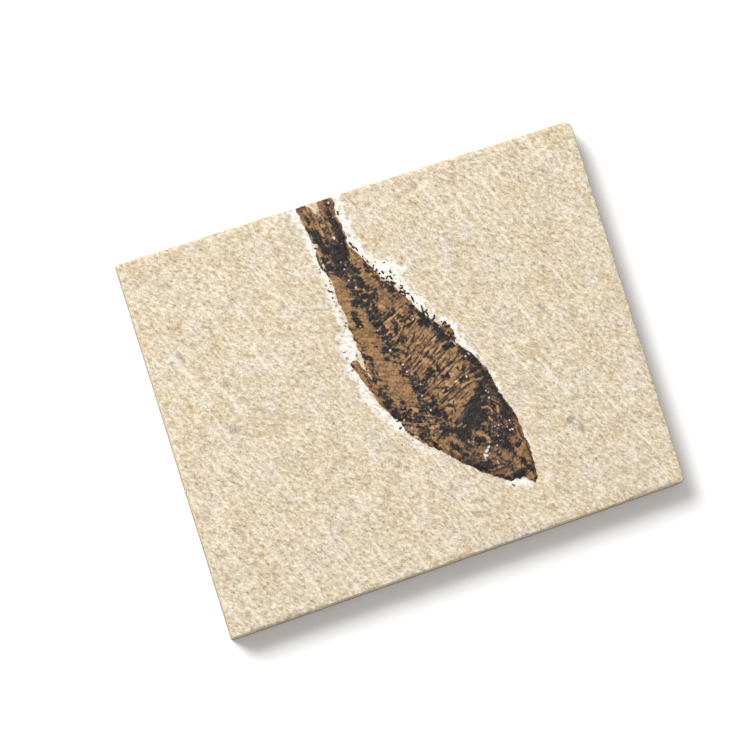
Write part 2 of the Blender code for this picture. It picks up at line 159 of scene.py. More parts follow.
BLACK_BONE = (
    # Tail
    (0.8, (-5.2, 49.2), (-5.4, 47.0), (-5.6, 45.2)), (1.3, (-5.6, 45.4), (-5.2, 43.2)), (2.2,
     (-4.9, 43.4), (-4.7, 40.0), (-4.9, 36.6), (-5.6, 34.2)), (1.0, (-12.1, 44.3), (-11.2, 43.4)), (1.7,
     (-10.9, 43.0), (-10.4, 41.0), (-10.0, 39.2), (-9.4, 37.6)), (0.9, (-11.6, 47.2), (-11.3, 46.3)),
    (0.6, (-12.6, 49.9), (-12.2, 49.3)), (0.4, (-10.8, 48.2), (-10.2, 47.9)), (0.35, (-9.0, 46.6)),
    (0.35, (-8.0, 47.1)), (0.35, (-6.9, 46.0), (-6.3, 45.3)), (0.35, (-3.4, 48.4), (-3.5, 49.0)),
    (0.35, (-4.2, 46.9), (-4.4, 46.2)), (0.5, (-5.9, 50.3), (-5.4, 50.4)),
    (2.2, (-9.3, 37.6), (-7.0, 37.3), (-5.0, 37.4)), (0.6, (-7.4, 38.5), (-6.6, 38.8)),
    (0.45, (-6.9, 41.4), (-6.4, 41.8)), (0.7, (-8.7, 40.6), (-8.4, 39.5)),
    (0.5, (-9.4, 42.0), (-9.0, 41.0)), (0.35, (-12.3, 42.6), (-12.4, 40.4)), (0.45, (-12.2, 37.2),
     (-12.3, 35.6), (-11.9, 34.0), (-11.6, 33.2)), (1.1, (-10.8, 35.9), (-10.5, 34.8)),
    (1.5, (-10.0, 35.0), (-10.2, 33.0), (-9.4, 32.6)), (2.6, (-7.3, 36.3), (-7.4, 33.5), (-6.8, 31.5)),
    (1.6, (-8.8, 31.6), (-7.2, 30.6)), (1.3, (-4.2, 31.2), (-3.4, 30.6), (-3.1, 29.6)),
    # Backbone and its blotches, down to the fin
    (1.5, (-6.6, 29.6), (-6.4, 28.6)), (1.5, (-4.9, 28.7), (-3.7, 28.4)),
    (1.5, (-6.5, 27.2), (-5.6, 26.3)), (1.8, (-3.6, 27.6), (-3.3, 26.0)),
    (1.8, (-5.6, 24.8), (-4.8, 24.2)), (1.4, (-2.2, 25.4), (-2.2, 24.3)),
    (0.9, (-1.6, 24.2), (-0.2, 24.1)), (1.0, (-4.2, 23.2), (-2.4, 23.3)),
    (1.5, (-6.4, 22.2), (-5.2, 21.8), (-4.6, 21.1)), (0.9, (-7.2, 22.4), (-6.4, 21.2)),
    (1.3, (-2.8, 22.6), (-1.3, 22.7), (-0.6, 23.0)), (1.2, (-3.6, 21.1), (-2.4, 21.5), (-1.6, 22.0)),
    (1.6, (-7.6, 19.6), (-7.5, 18.2), (-7.2, 16.6)), (0.8, (-7.8, 15.9), (-6.4, 15.7)),
    (1.0, (-3.8, 19.5), (-3.6, 18.4)), (1.5, (-2.0, 19.6), (-1.7, 18.4)),
    (1.3, (-3.7, 17.3), (-2.7, 16.5)), (1.7, (-3.0, 15.4), (-2.6, 14.6)),
    (0.9, (-1.9, 15.4), (-1.5, 15.2)), (1.6, (-1.6, 13.6), (-1.4, 12.6)),
    (1.2, (-2.9, 12.9), (-2.0, 12.3)), (1.4, (-2.0, 11.0), (-1.2, 10.6)),
    (0.8, (-0.8, 10.2), (0.0, 10.9)), (0.7, (0.2, 9.4), (0.8, 8.8)), (1.0, (-1.3, 9.6), (-1.6, 8.6)),
    (0.9, (1.4, 9.3), (2.4, 8.9)), (0.9, (2.9, 9.9), (3.3, 9.4)), (1.4, (-2.4, 8.0), (-1.2, 7.8)),
    (0.8, (-4.0, 7.7), (-3.4, 7.6)), (0.9, (-0.5, 7.5), (0.5, 6.8)), (0.5, (0.8, 6.4), (-1.6, 6.6)),
    (0.5, (1.0, 6.6), (1.8, 5.4)), (0.8, (-2.9, 5.6), (-2.5, 5.4)), (0.5, (-0.6, 5.6), (-1.1, 5.0)),
    (0.4, (0.1, 5.0), (0.6, 4.2)), (0.6, (-1.3, 4.3), (-1.4, 3.8)), (0.9, (2.2, 5.2), (2.1, 4.8)),
    (0.4, (1.9, 8.0), (2.6, 7.0)), (1.0, (0.2, 2.0), (0.2, 1.1)),
    (0.7, (-0.8, 0.9), (0.2, 0.0), (1.0, -0.2)), (1.1, (1.6, -0.6), (1.4, -1.4)),
    (0.9, (2.4, -0.4), (3.0, -0.6)), (1.0, (1.4, -3.3), (2.2, -3.5)), (1.0, (3.2, -2.7), (3.9, -3.0)),
    (1.6, (1.4, -4.4), (2.2, -4.9)), (1.5, (3.4, -4.4), (3.6, -5.2)), (1.0, (4.6, -3.0), (5.6, -2.4)),
    (1.2, (5.2, -2.2), (6.4, -1.6)), (1.2, (6.6, -0.6), (7.2, -0.9)), (1.0, (2.0, -6.2), (1.8, -7.3)),
    (0.9, (4.3, -6.4), (4.9, -7.0)), (0.9, (5.2, -7.8), (5.3, -8.6)), (1.3, (2.2, -9.2), (2.9, -9.4)),
    (0.8, (0.9, -10.2), (2.2, -10.4), (3.4, -10.4)), (1.2, (4.4, -9.8), (5.4, -9.5)),
    (1.2, (3.8, -11.2), (4.0, -12.2)), (1.6, (5.2, -11.8), (5.6, -12.4)),
    (1.0, (4.6, -13.0), (4.4, -14.0)), (1.2, (6.8, -12.8), (6.8, -13.8)),
    (0.7, (8.0, -14.6), (8.1, -14.9)), (0.8, (5.6, -15.2), (6.3, -15.6)),
    (1.6, (5.4, -16.2), (7.2, -17.2)), (1.8, (6.0, -17.8), (5.2, -18.0)),
    (1.1, (7.6, -17.8), (8.6, -17.4)),
    # Back, beside the folded fin
    (0.5, (-9.9, 16.4), (-9.4, 15.6)), (0.5, (-9.5, 13.2), (-8.9, 12.2), (-8.3, 11.4)),
    (0.6, (-8.1, 10.4), (-8.2, 9.8)), (0.5, (-8.9, 9.6), (-8.8, 8.9)), (0.6, (-8.4, 8.6), (-9.0, 8.0)),
    (0.9, (-8.3, 7.5), (-7.7, 7.4)), (0.5, (-8.9, 6.8), (-8.8, 6.3)), (0.7, (-7.2, 7.0), (-7.0, 6.4)),
    (0.7, (-7.5, 5.6), (-7.3, 4.8)), (0.5, (-8.9, 4.6)), (0.5, (-7.6, 3.6), (-7.4, 2.4)),
    (0.4, (-6.8, 3.2), (-6.4, 2.2)), (1.0, (-7.8, 1.4), (-7.6, 0.8)), (0.5, (-6.6, 1.0), (-6.2, 0.6)),
    (0.4, (-10.0, 3.2), (-9.8, 2.6)), (0.35, (-9.6, 2.0), (-9.5, 0.9)), (0.5, (-9.5, 0.2), (-9.3, -0.2)),
    (0.35, (-9.2, -1.4), (-8.2, -3.0)), (0.7, (-5.8, -1.8), (-5.4, -1.5)), (0.4, (-4.4, -1.9)),
    (0.4, (-5.9, -2.8)), (0.5, (-7.0, 10.3)), (0.5, (-6.2, 8.8)), (0.6, (-4.5, 9.6)),
    (0.45, (-5.5, 10.6)), (0.7, (-12.3, 6.9), (-12.1, 6.6)), (1.1, (-7.3, -1.8), (-7.4, -3.0)),
    (1.4, (-7.0, -3.4), (-6.4, -4.8)), (1.2, (-6.6, -5.4), (-5.4, -5.4)),
    (1.0, (-6.8, -6.6), (-6.2, -7.0)), (1.8, (-5.2, -8.4), (-4.9, -9.6)),
    (0.9, (-5.8, -9.0), (-5.9, -9.6)), (1.0, (-4.6, -9.6), (-3.0, -9.6)),
    (1.0, (-5.0, -10.8), (-4.0, -10.8)), (1.3, (-3.2, -11.0), (-2.4, -11.6)),
    (0.8, (-2.2, -9.6), (-1.2, -9.5)), (1.0, (-0.4, -10.8), (0.0, -11.8)),
    (1.0, (-1.2, -12.4), (0.2, -12.9)), (0.8, (-2.8, -6.2), (-2.8, -7.2)),
    (0.6, (-2.6, -8.4), (-3.2, -8.0)), (0.4, (-0.9, -6.6)), (0.35, (-0.2, -7.4)), (0.5, (-1.1, -8.2)),
    (0.4, (0.4, -8.6)), (0.5, (-4.6, -12.4), (-4.0, -12.2)),
    (0.5, (-4.0, -13.6), (-3.4, -14.6), (-3.0, -15.6)), (0.9, (-1.0, -16.4), (-0.6, -17.4)),
    (0.6, (-0.2, -16.0), (0.4, -16.4)), (0.35, (-2.0, -16.9), (-1.4, -17.9), (-0.8, -18.7)),
    (0.4, (-0.2, -17.6), (0.1, -18.6)), (0.9, (1.8, -19.2), (2.4, -20.2)),
    (1.0, (2.3, -21.0), (2.9, -21.2)), (0.7, (0.3, -19.4), (0.8, -19.4)),
    (0.6, (1.0, -11.6), (1.7, -12.7)), (0.6, (2.3, -11.5)), (0.8, (2.4, -14.2), (3.6, -14.8)),
    (0.6, (0.4, -14.6), (-0.6, -14.2)), (0.5, (3.4, -18.2), (4.0, -18.3)),
    # Belly, from the tail to the ventral fin
    (0.45, (-0.8, 33.2)), (0.5, (-0.6, 32.2), (-0.6, 31.6)), (0.8, (-0.6, 30.8), (-0.4, 30.3)),
    (0.5, (0.2, 30.7), (0.6, 29.8)), (0.6, (-0.8, 29.6), (-0.5, 29.0)), (0.4, (0.2, 28.8), (0.5, 28.2)),
    (0.3, (-2.6, 32.8), (-2.0, 33.0)), (0.4, (-2.6, 30.6), (-1.9, 30.5)), (0.7, (0.3, 27.3), (1.2, 27.0)),
    (0.5, (1.5, 26.8), (1.6, 25.0)), (0.3, (1.2, 25.4), (1.9, 23.6)), (0.7, (2.4, 25.2), (3.2, 25.0)),
    (1.0, (2.7, 24.4), (2.9, 23.4)), (1.4, (3.3, 23.0), (4.4, 22.6)), (0.6, (4.0, 21.3), (4.6, 20.3)),
    (0.5, (5.0, 21.0), (5.2, 20.2)), (0.4, (2.6, 21.0), (3.2, 19.8)), (0.5, (1.0, 18.5), (1.6, 18.3)),
    (0.6, (2.6, 17.2), (2.9, 16.8)), (0.4, (-0.8, 20.6), (-0.3, 21.8)),
    (0.5, (-2.0, 16.6), (-0.9, 16.8), (0.2, 17.3), (0.9, 17.2)),
    (0.6, (-0.4, 15.6), (0.6, 16.0), (1.4, 16.6), (2.0, 16.1)), (0.5, (-0.2, 16.6), (0.3, 16.0)),
    (0.45, (1.3, 14.8), (1.6, 14.2)), (0.5, (2.4, 14.2), (2.0, 12.9)), (0.9, (1.8, 12.4), (1.5, 11.6)),
    (0.9, (3.4, 15.6), (4.2, 14.8)), (0.9, (3.8, 13.8), (4.9, 14.1)), (0.6, (5.2, 14.3), (5.8, 13.8)),
    (0.5, (6.3, 15.6), (6.9, 15.3), (7.4, 14.6)), (0.4, (6.4, 17.9), (6.9, 17.1), (7.6, 16.6)),
    (0.9, (7.6, 17.0), (8.0, 16.8)), (0.6, (4.0, 12.1), (5.2, 12.1), (6.2, 12.7), (7.3, 13.2)),
    (0.8, (8.0, 12.8), (9.0, 12.8)), (1.5, (9.0, 14.2), (9.6, 13.6)), (2.0, (9.6, 12.4), (10.2, 11.6)),
    (1.0, (8.5, 11.7), (9.0, 11.4)), (0.5, (10.0, 10.8), (10.1, 10.3)), (0.5, (10.9, 9.5), (10.7, 9.1)),
    (1.8, (12.3, 10.2), (12.5, 8.6), (12.8, 7.2)), (1.2, (11.8, 6.7), (12.8, 6.6)),
    (0.5, (10.4, 6.0), (11.4, 6.3)), (0.9, (11.5, 7.7), (11.2, 8.3)),
    (0.8, (14.6, 7.4), (13.6, 6.8), (14.4, 5.9)), (0.8, (13.2, 6.2), (14.0, 5.6)),
    (1.4, (13.2, 4.2), (14.6, 4.0)), (0.9, (12.6, 3.6), (13.0, 3.4)), (0.5, (14.8, 3.2), (15.6, 3.6)),
    (0.5, (15.3, 6.2), (15.6, 5.2), (15.9, 4.2)),
    # Ribs
    (0.5, (3.0, 6.4), (4.2, 7.4), (5.3, 8.5), (6.3, 9.8)), (0.35, (2.2, 4.4), (4.2, 5.4), (5.0, 6.0),
     (7.0, 7.5), (8.3, 8.7)), (0.5, (5.6, 6.3), (6.2, 6.7)), (0.5, (7.5, 7.9), (8.4, 8.6)),
    (0.5, (4.0, 5.3), (5.2, 6.0)), (0.35, (4.6, 3.4), (6.0, 4.3), (7.4, 5.2), (8.5, 6.0), (9.8, 7.0),
     (11.2, 7.8)), (0.6, (5.8, 4.2), (7.4, 5.2)), (0.7, (6.9, 3.2), (7.9, 3.9)),
    (0.35, (8.0, 2.4), (9.4, 3.4), (10.8, 4.2)), (0.5, (10.0, 2.6), (10.8, 3.2)),
    (0.35, (1.0, 1.8), (2.4, 2.1), (3.6, 2.6), (5.0, 3.5)), (0.35, (2.4, 1.2), (3.6, 1.6), (5.8, 2.4)),
    (0.5, (1.6, 3.3), (3.0, 3.6)), (0.5, (11.0, 0.2), (11.4, 0.7)), (0.4, (7.0, -3.6), (8.6, -2.6), (10.0,
     -1.9), (11.4, -1.0), (12.8, -0.2)), (0.8, (12.0, -0.6), (12.8, -0.2)),
    (0.35, (5.9, -4.6), (7.0, -4.0), (8.0, -3.4)), (0.35, (7.6, -5.3), (9.0, -4.6), (10.4, -4.2)),
    (0.8, (10.6, -4.4), (11.4, -4.2)), (0.8, (9.8, -3.6), (10.8, -3.2)), (0.45, (12.4, -5.2), (13.6,
     -4.6), (15.0, -4.0), (16.6, -3.6), (17.6, -3.0)), (0.4, (10.6, -7.0), (12.6, -6.2)),
    (1.1, (13.8, -5.9), (15.2, -5.6)), (0.4, (7.6, -9.2), (9.4, -8.2), (11.0, -7.4), (12.4, -7.0)), (0.4,
     (12.4, -8.6), (13.4, -8.0), (15.0, -7.6), (17.4, -7.0)), (0.4, (9.0, -10.0), (10.6, -9.5), (12.0,
     -8.6), (13.0, -7.8)), (0.4, (11.8, -10.9), (13.0, -10.2), (14.6, -9.3)),
    (0.5, (13.8, 0.0), (15.4, 0.9)), (0.6, (14.0, -2.0), (14.3, -3.2)), (0.7, (15.6, -2.6), (15.2, -3.4)),
    (0.7, (9.0, -7.2), (9.8, -6.8)), (0.5, (7.0, -5.6), (8.0, -6.0), (9.4, -6.2)),
    (0.5, (7.0, -7.4), (6.6, -8.2)), (0.7, (7.4, -9.7), (8.4, -9.0)), (1.0, (7.3, -1.2)),
    (0.7, (7.4, -2.8)), (0.5, (5.9, -3.8)), (1.0, (8.4, 0.9), (8.9, 1.3)),
    (0.8, (9.2, -0.4), (9.0, -1.2)), (1.0, (8.8, -11.0), (9.4, -11.5)), (0.5, (9.0, -12.8), (8.8, -13.6)),
    (0.5, (10.2, -10.6), (9.8, -13.2)), (0.9, (6.6, -13.4)), (0.6, (6.5, -11.6), (7.0, -12.2)),
    (0.6, (7.7, 2.6), (8.4, 2.0)), (0.4, (8.2, -0.2), (10.2, 1.4), (11.2, 2.0)),
    (0.4, (11.0, -2.8), (12.4, -2.2), (13.2, -1.6)),
    # Scutes along the belly
    (1.5, (16.4, 2.4), (17.0, 1.0)), (1.8, (17.8, 0.0), (18.6, -1.8)), (1.6, (18.9, -0.4), (19.2, -1.6)),
    (1.6, (17.4, -4.4), (18.6, -4.0), (19.6, -3.8)), (1.6, (18.4, -6.2), (20.4, -5.6)),
    (1.4, (17.0, -9.6), (18.4, -9.4)), (1.4, (17.8, -10.6), (19.2, -10.8)),
    (1.4, (20.6, -8.6), (21.4, -10.2)), (1.6, (22.6, -13.0), (22.9, -14.0)),
    (1.8, (23.0, -15.2), (22.8, -16.4)), (2.0, (22.0, -17.4), (22.6, -19.0)),
    (0.6, (16.6, -0.6), (17.2, -0.9)), (0.8, (20.8, -12.0), (21.6, -12.2)),
    (0.8, (17.6, -7.4), (18.6, -8.2)),
    # Gill cover
    (1.8, (9.8, -16.2), (11.6, -15.4), (13.0, -14.2)), (2.2, (13.4, -13.6), (15.0, -12.4), (16.4, -11.4)),
    (3.2, (12.0, -16.4), (14.0, -15.4), (16.4, -15.4)),
    (3.0, (11.0, -17.6), (13.6, -17.4), (16.6, -16.6)), (1.6, (16.6, -15.6), (18.0, -15.4)),
    (1.6, (15.6, -13.4), (18.4, -13.6)), (2.2, (8.8, -18.2), (11.0, -18.6)),
    (2.6, (9.4, -19.8), (11.2, -19.4)), (1.4, (14.0, -19.0), (15.4, -19.4)),
    # Head
    (1.2, (16.6, -24.4), (18.4, -24.6), (19.6, -25.6)),
    (1.3, (17.0, -23.0), (20.0, -23.6), (20.6, -25.2)), (1.3, (20.4, -26.0), (20.9, -27.4)),
    (0.7, (20.9, -27.8), (21.6, -29.0)), (0.5, (21.8, -29.3), (22.3, -29.5)),
    (1.2, (22.9, -30.2), (23.3, -31.8)), (1.2, (23.2, -32.0), (24.2, -33.4), (24.7, -34.4)),
    (1.4, (20.2, -33.4), (22.0, -33.2)), (1.8, (20.0, -34.2), (21.6, -34.2)), (0.9, (19.6, -32.6)),
    (1.6, (13.0, -22.0), (14.5, -22.6)), (1.0, (13.2, -23.4)), (0.9, (6.9, -25.7)),
    (0.9, (8.7, -24.8), (9.2, -25.0)), (0.8, (8.0, -25.6)),
    (1.6, (11.0, -28.6), (12.6, -28.8), (14.4, -29.0)),
    (1.2, (11.2, -29.6), (13.0, -29.8), (15.4, -30.0)), (0.8, (13.4, -31.4)),
    (0.8, (15.2, -32.4), (16.8, -33.4)), (0.6, (17.4, -34.0), (18.6, -34.9)), (0.5, (23.5, -36.4)),
    (0.5, (24.2, -37.1)), (0.6, (25.0, -36.3)), (0.4, (25.2, -27.0), (25.4, -30.0), (25.2, -33.0), (25.3,
     -35.5)), (1.6, (6.4, -21.6), (7.0, -22.4)), (0.4, (17.3, -27.2), (17.6, -28.6), (18.2, -29.6), (19.2,
     -30.0)), (0.4, (16.9, -30.1), (17.8, -30.5)), (0.5, (15.2, -31.0), (17.0, -31.2), (19.0, -31.0)),
    (0.5, (24.2, -22.0), (24.4, -24.6), (24.9, -25.6)), (0.9, (23.2, -26.4), (22.6, -26.8)),
    (0.5, (17.0, -26.2), (16.9, -27.4)), (0.7, (15.4, -25.6)),
)
TAN_FILM = (
    # Tail
    (1.2, (-12.7, 48.0), (-12.7, 45.4), (-11.6, 45.2)), (0.9, (-11.2, 49.6), (-10.2, 48.6)),
    (1.2, (-6.9, 50.6), (-6.9, 48.6)), (0.8, (-4.4, 50.0), (-4.2, 48.6)),
    (0.6, (-7.2, 47.4), (-6.4, 45.9)), (0.4, (-11.2, 45.2), (-10.6, 44.2)),
    (0.5, (-9.6, 47.6), (-9.2, 44.8), (-9.0, 43.0)), (0.45, (-7.7, 41.4), (-7.5, 39.4)),
    (0.6, (-9.1, 39.2), (-8.9, 38.5)), (0.6, (-11.8, 41.4), (-11.6, 40.4)),
    (0.8, (-11.3, 37.9), (-9.4, 35.4)), (0.7, (-3.4, 40.0), (-3.4, 38.0), (-3.2, 36.2)),
    (1.9, (-3.2, 35.4), (-2.9, 33.4), (-2.0, 31.8)), (1.6, (-2.0, 30.0), (-1.9, 27.6)),
    (1.4, (-9.9, 31.4), (-9.2, 29.8)), (0.5, (-6.2, 35.8), (-6.6, 34.8)),
    # Back
    (2.6, (-9.0, 29.0), (-9.0, 24.0), (-8.6, 22.2)), (1.6, (-9.3, 21.0), (-9.0, 16.0)),
    (2.2, (-5.6, 20.0), (-5.6, 16.4)), (3.6, (-6.4, 14.6), (-6.2, 9.6), (-5.6, 6.0), (-4.4, 2.0),
     (-3.0, -2.0), (-1.6, -5.0)), (1.2, (-11.3, 6.4), (-10.6, 4.0)), (0.7, (-10.2, 1.8), (-9.4, -1.6),
     (-8.7, -4.6), (-7.6, -7.6)), (1.2, (-1.6, -7.4), (-1.2, -8.6)), (1.0, (-3.8, -8.8), (-3.6, -9.2)),
    (1.0, (-4.0, -11.6)), (1.4, (-1.8, -13.6), (-1.4, -14.6)), (1.3, (0.9, -13.0), (2.8, -13.4)),
    (1.1, (4.2, -8.0), (4.3, -9.0)), (1.0, (6.3, -6.0), (6.5, -6.8)), (1.3, (3.6, -17.6), (4.4, -17.4)),
    (1.8, (3.2, -20.2), (4.6, -22.0)), (1.5, (4.0, -19.5), (6.0, -19.5)),
    (1.2, (6.6, -19.6), (7.6, -20.4)), (1.3, (6.4, -23.4), (6.8, -24.4)),
    # Belly
    (1.8, (0.6, 23.8), (0.2, 21.0), (0.2, 18.8)), (1.0, (-0.8, 26.4), (-0.6, 25.2)),
    (0.9, (0.8, 25.4), (0.9, 24.6)), (1.4, (1.4, 20.0), (2.6, 22.2)), (1.6, (4.4, 18.6), (6.6, 18.6)),
    (1.0, (7.4, 18.2), (8.0, 17.9)), (1.0, (5.2, 16.6), (6.0, 16.2)), (1.2, (0.4, 14.6), (0.8, 13.0)),
    (1.6, (4.4, 10.6), (7.0, 11.6)), (1.8, (5.0, 9.8), (8.8, 9.6), (9.6, 8.0)),
    (2.0, (3.6, 5.2), (6.4, 8.4)), (2.0, (8.6, 5.4), (11.0, 5.2)), (1.8, (11.6, 2.6), (14.8, 2.4)),
    (1.4, (14.0, -0.6), (16.6, -1.6)), (1.5, (3.6, -0.6), (5.6, -1.4)), (1.4, (8.0, -3.6), (9.0, -4.2)),
    (1.8, (8.6, -9.4), (10.6, -8.4), (12.6, -7.8)), (1.6, (11.4, -9.8), (14.0, -8.8), (16.0, -8.0)),
    (1.8, (13.2, -11.4), (15.4, -10.2)), (2.2, (7.2, -10.8), (7.6, -9.8)), (1.3, (8.4, -12.8)),
    (1.4, (8.2, -16.0), (9.6, -14.9)), (1.3, (10.2, -14.4), (11.6, -14.0)),
    (1.4, (11.6, -13.2), (11.0, -12.2)), (1.0, (17.2, -12.9), (16.7, -12.2), (17.3, -11.6)),
    (1.0, (13.0, -20.1), (13.8, -20.6)),
    # Head
    (0.9, (13.0, -25.2), (14.2, -24.7)), (1.8, (18.6, -26.6), (19.1, -27.4), (18.9, -28.8)),
    (0.8, (19.6, -27.6)), (0.4, (16.5, -27.0), (17.0, -28.6), (17.6, -29.8), (18.6, -30.3)),
    (0.7, (15.8, -30.6), (18.4, -30.7)), (0.3, (16.0, -31.5), (18.0, -31.6)),
    (1.8, (22.2, -27.9), (22.8, -28.6)), (0.7, (23.3, -29.2)),
    (1.3, (21.0, -30.0), (21.5, -31.2), (21.2, -32.0)), (1.5, (21.8, -24.8), (22.5, -25.6)),
    (0.9, (23.0, -33.2), (23.2, -34.0)), (1.8, (23.4, -34.7), (24.2, -35.7)), (0.4, (24.4, -26.4), (24.9,
     -28.0), (24.7, -30.0), (24.7, -32.0), (24.9, -33.2)), (0.8, (24.6, -21.6), (25.0, -23.4)),
    (0.9, (23.5, -19.2), (24.2, -19.9)), (0.8, (24.6, -20.4), (24.8, -21.2)),
)
# Pale film and thin tan streaks, each with its own darkness: partly the film's own paler colour, partly
# painted highlight where the film is lit
PALE_AND_LIT_FILM = (
    (0.35, (9.6, -17.1), (10.6, -16.6)), (0.35, (10.6, -17.8), (11.4, -17.4)), (0.45, (17.0, -14.4),
     (18.4, -14.4), (19.0, -15.2), (19.2, -16.2)), (0.35, (20.2, -13.0), (20.8, -13.8), (21.6, -14.4)),
    (0.7, (20.8, -15.4), (20.6, -16.6)), (0.5, (14.2, -20.8), (15.4, -21.8), (16.1, -22.7)),
    (0.5, (17.8, -17.4), (18.3, -18.4)), (0.4, (16.6, -18.4)), (0.4, (17.9, -20.0)), (0.5, (19.0, -20.8)),
    (0.4, (20.4, -21.0)), (0.4, (21.0, -18.3)), (0.4, (14.9, -19.3)), (0.5, (12.4, 4.8), (13.4, 4.9)),
    (0.6, (-4.5, 24.0)), (0.7, (-3.1, 24.6)), (0.5, (-6.6, 33.4)), (0.5, (-10.0, 34.3), (-9.2, 34.6)),
    (0.6, (-8.2, 47.2)), (0.5, (-8.8, 42.7)), (0.5, (2.9, 14.0), (3.1, 13.2)),
    (0.4, (-5.0, -4.6), (-4.2, -5.7)), (0.6, (5.8, 7.0), (6.6, 6.9)), (0.5, (-2.6, 34.4)),
    (0.6, (9.8, 6.4)), (0.6, (8.4, 7.0)), (0.45, (8.6, 8.4)), (1.0, (-0.4, 19.2), (0.6, 18.6)),
    (1.0, (2.0, -0.2)), (0.6, (14.0, -1.6), (13.4, -1.9)), (0.4, (23.8, -21.0)), (0.6, (5.6, 13.2)),
    (0.5, (3.3, 11.8)), (0.5, (2.2, -18.7)), (0.6, (14.0, 7.2)), (0.35, (21.8, -23.4)),
    (0.35, (22.6, -24.4)), (0.5, (-4.1, 47.2)), (0.5, (-8.9, 20.7)), (0.35, (-4.9, 38.1)),
)
CALCITE = (
    (0.8, (13.6, -26.3), (14.3, -26.8)), (0.45, (13.5, -27.0), (13.6, -27.7)),
    (0.8, (14.3, -25.6), (14.8, -25.4)), (0.7, (15.4, -24.8)), (0.5, (17.6, -25.1)),
    (0.35, (17.6, -26.9)), (0.45, (16.3, -29.0), (16.4, -29.7)), (0.35, (15.9, -23.6)),
    (0.3, (15.1, -26.5)), (0.3, (14.3, -28.9)), (0.45, (18.6, -22.6)), (0.25, (19.9, -29.9)),
    (0.3, (19.3, -30.9)), (0.45, (8.7, -20.7)), (0.35, (8.7, -21.8)), (0.45, (10.8, -21.8)),
    (0.45, (11.9, -22.2)), (0.4, (19.6, -20.1)), (0.3, (20.3, -20.1)), (0.4, (22.7, -19.8)),
    (0.4, (22.2, -22.3)), (0.4, (22.8, -22.2)), (0.35, (21.7, -21.2)), (0.35, (18.6, -20.1)),
    (0.4, (19.3, -10.3)), (0.45, (19.8, -11.0)), (0.45, (19.6, -12.5)), (0.3, (18.4, -11.4)),
    (0.35, (20.2, -17.8)), (0.7, (-5.0, 25.8)), (0.4, (-6.1, 28.3)), (0.45, (-4.7, 28.0)),
    (0.5, (-6.2, 31.3)), (0.35, (-5.5, 32.4)), (0.35, (-7.0, 15.8)), (0.5, (-3.0, 13.4)),
    (0.4, (6.9, 13.5)), (0.5, (-1.5, 7.3)), (0.35, (-0.6, 4.8)), (0.45, (-1.4, 3.5)), (0.5, (0.5, 2.8)),
    (0.45, (1.0, 0.8)), (0.35, (0.8, -0.1)), (0.35, (2.0, -3.6)), (0.45, (3.4, -3.6)),
    (0.45, (2.8, -6.5)), (0.7, (12.5, -5.7)), (0.45, (11.9, -4.1)), (0.35, (11.6, -3.3)),
    (0.45, (17.0, -0.2)), (0.3, (15.2, 4.6), (15.6, 3.7)), (0.25, (17.9, 0.5), (18.3, -0.1)),
    (0.35, (5.5, -3.3)), (0.3, (9.9, -6.9)), (0.45, (15.6, -5.3)), (0.35, (-8.6, 4.2)),
    (0.35, (-3.6, -11.1)), (0.5, (-5.4, -10.6)), (0.3, (-3.0, -8.0)), (0.35, (-2.4, -13.7)),
    (0.45, (-1.8, -15.4)), (0.6, (-2.4, -16.1), (-1.7, -16.6)), (0.45, (-1.3, -17.4)),
    (0.35, (-0.5, -18.4)), (0.45, (0.8, -19.3)), (0.4, (-4.0, -14.4)), (0.35, (-3.5, -15.0)),
    (0.35, (-3.2, -15.7)), (0.3, (-1.3, -13.2)), (0.3, (-4.7, 42.0)), (0.3, (-6.3, 41.4)),
    (0.7, (-6.4, 40.4), (-6.3, 40.1)), (0.5, (-4.9, 49.5)), (0.4, (-4.2, 45.6)), (0.3, (-5.0, 45.5)),
    (0.6, (-11.3, 39.7)), (0.5, (-11.5, 35.4)), (0.5, (-11.4, 34.4), (-11.3, 33.5)), (0.4, (-11.4, 36.6)),
    (0.4, (3.9, -10.8)), (0.3, (11.8, -19.4)), (0.35, (12.9, 9.5)), (0.35, (14.7, 7.7)),
)
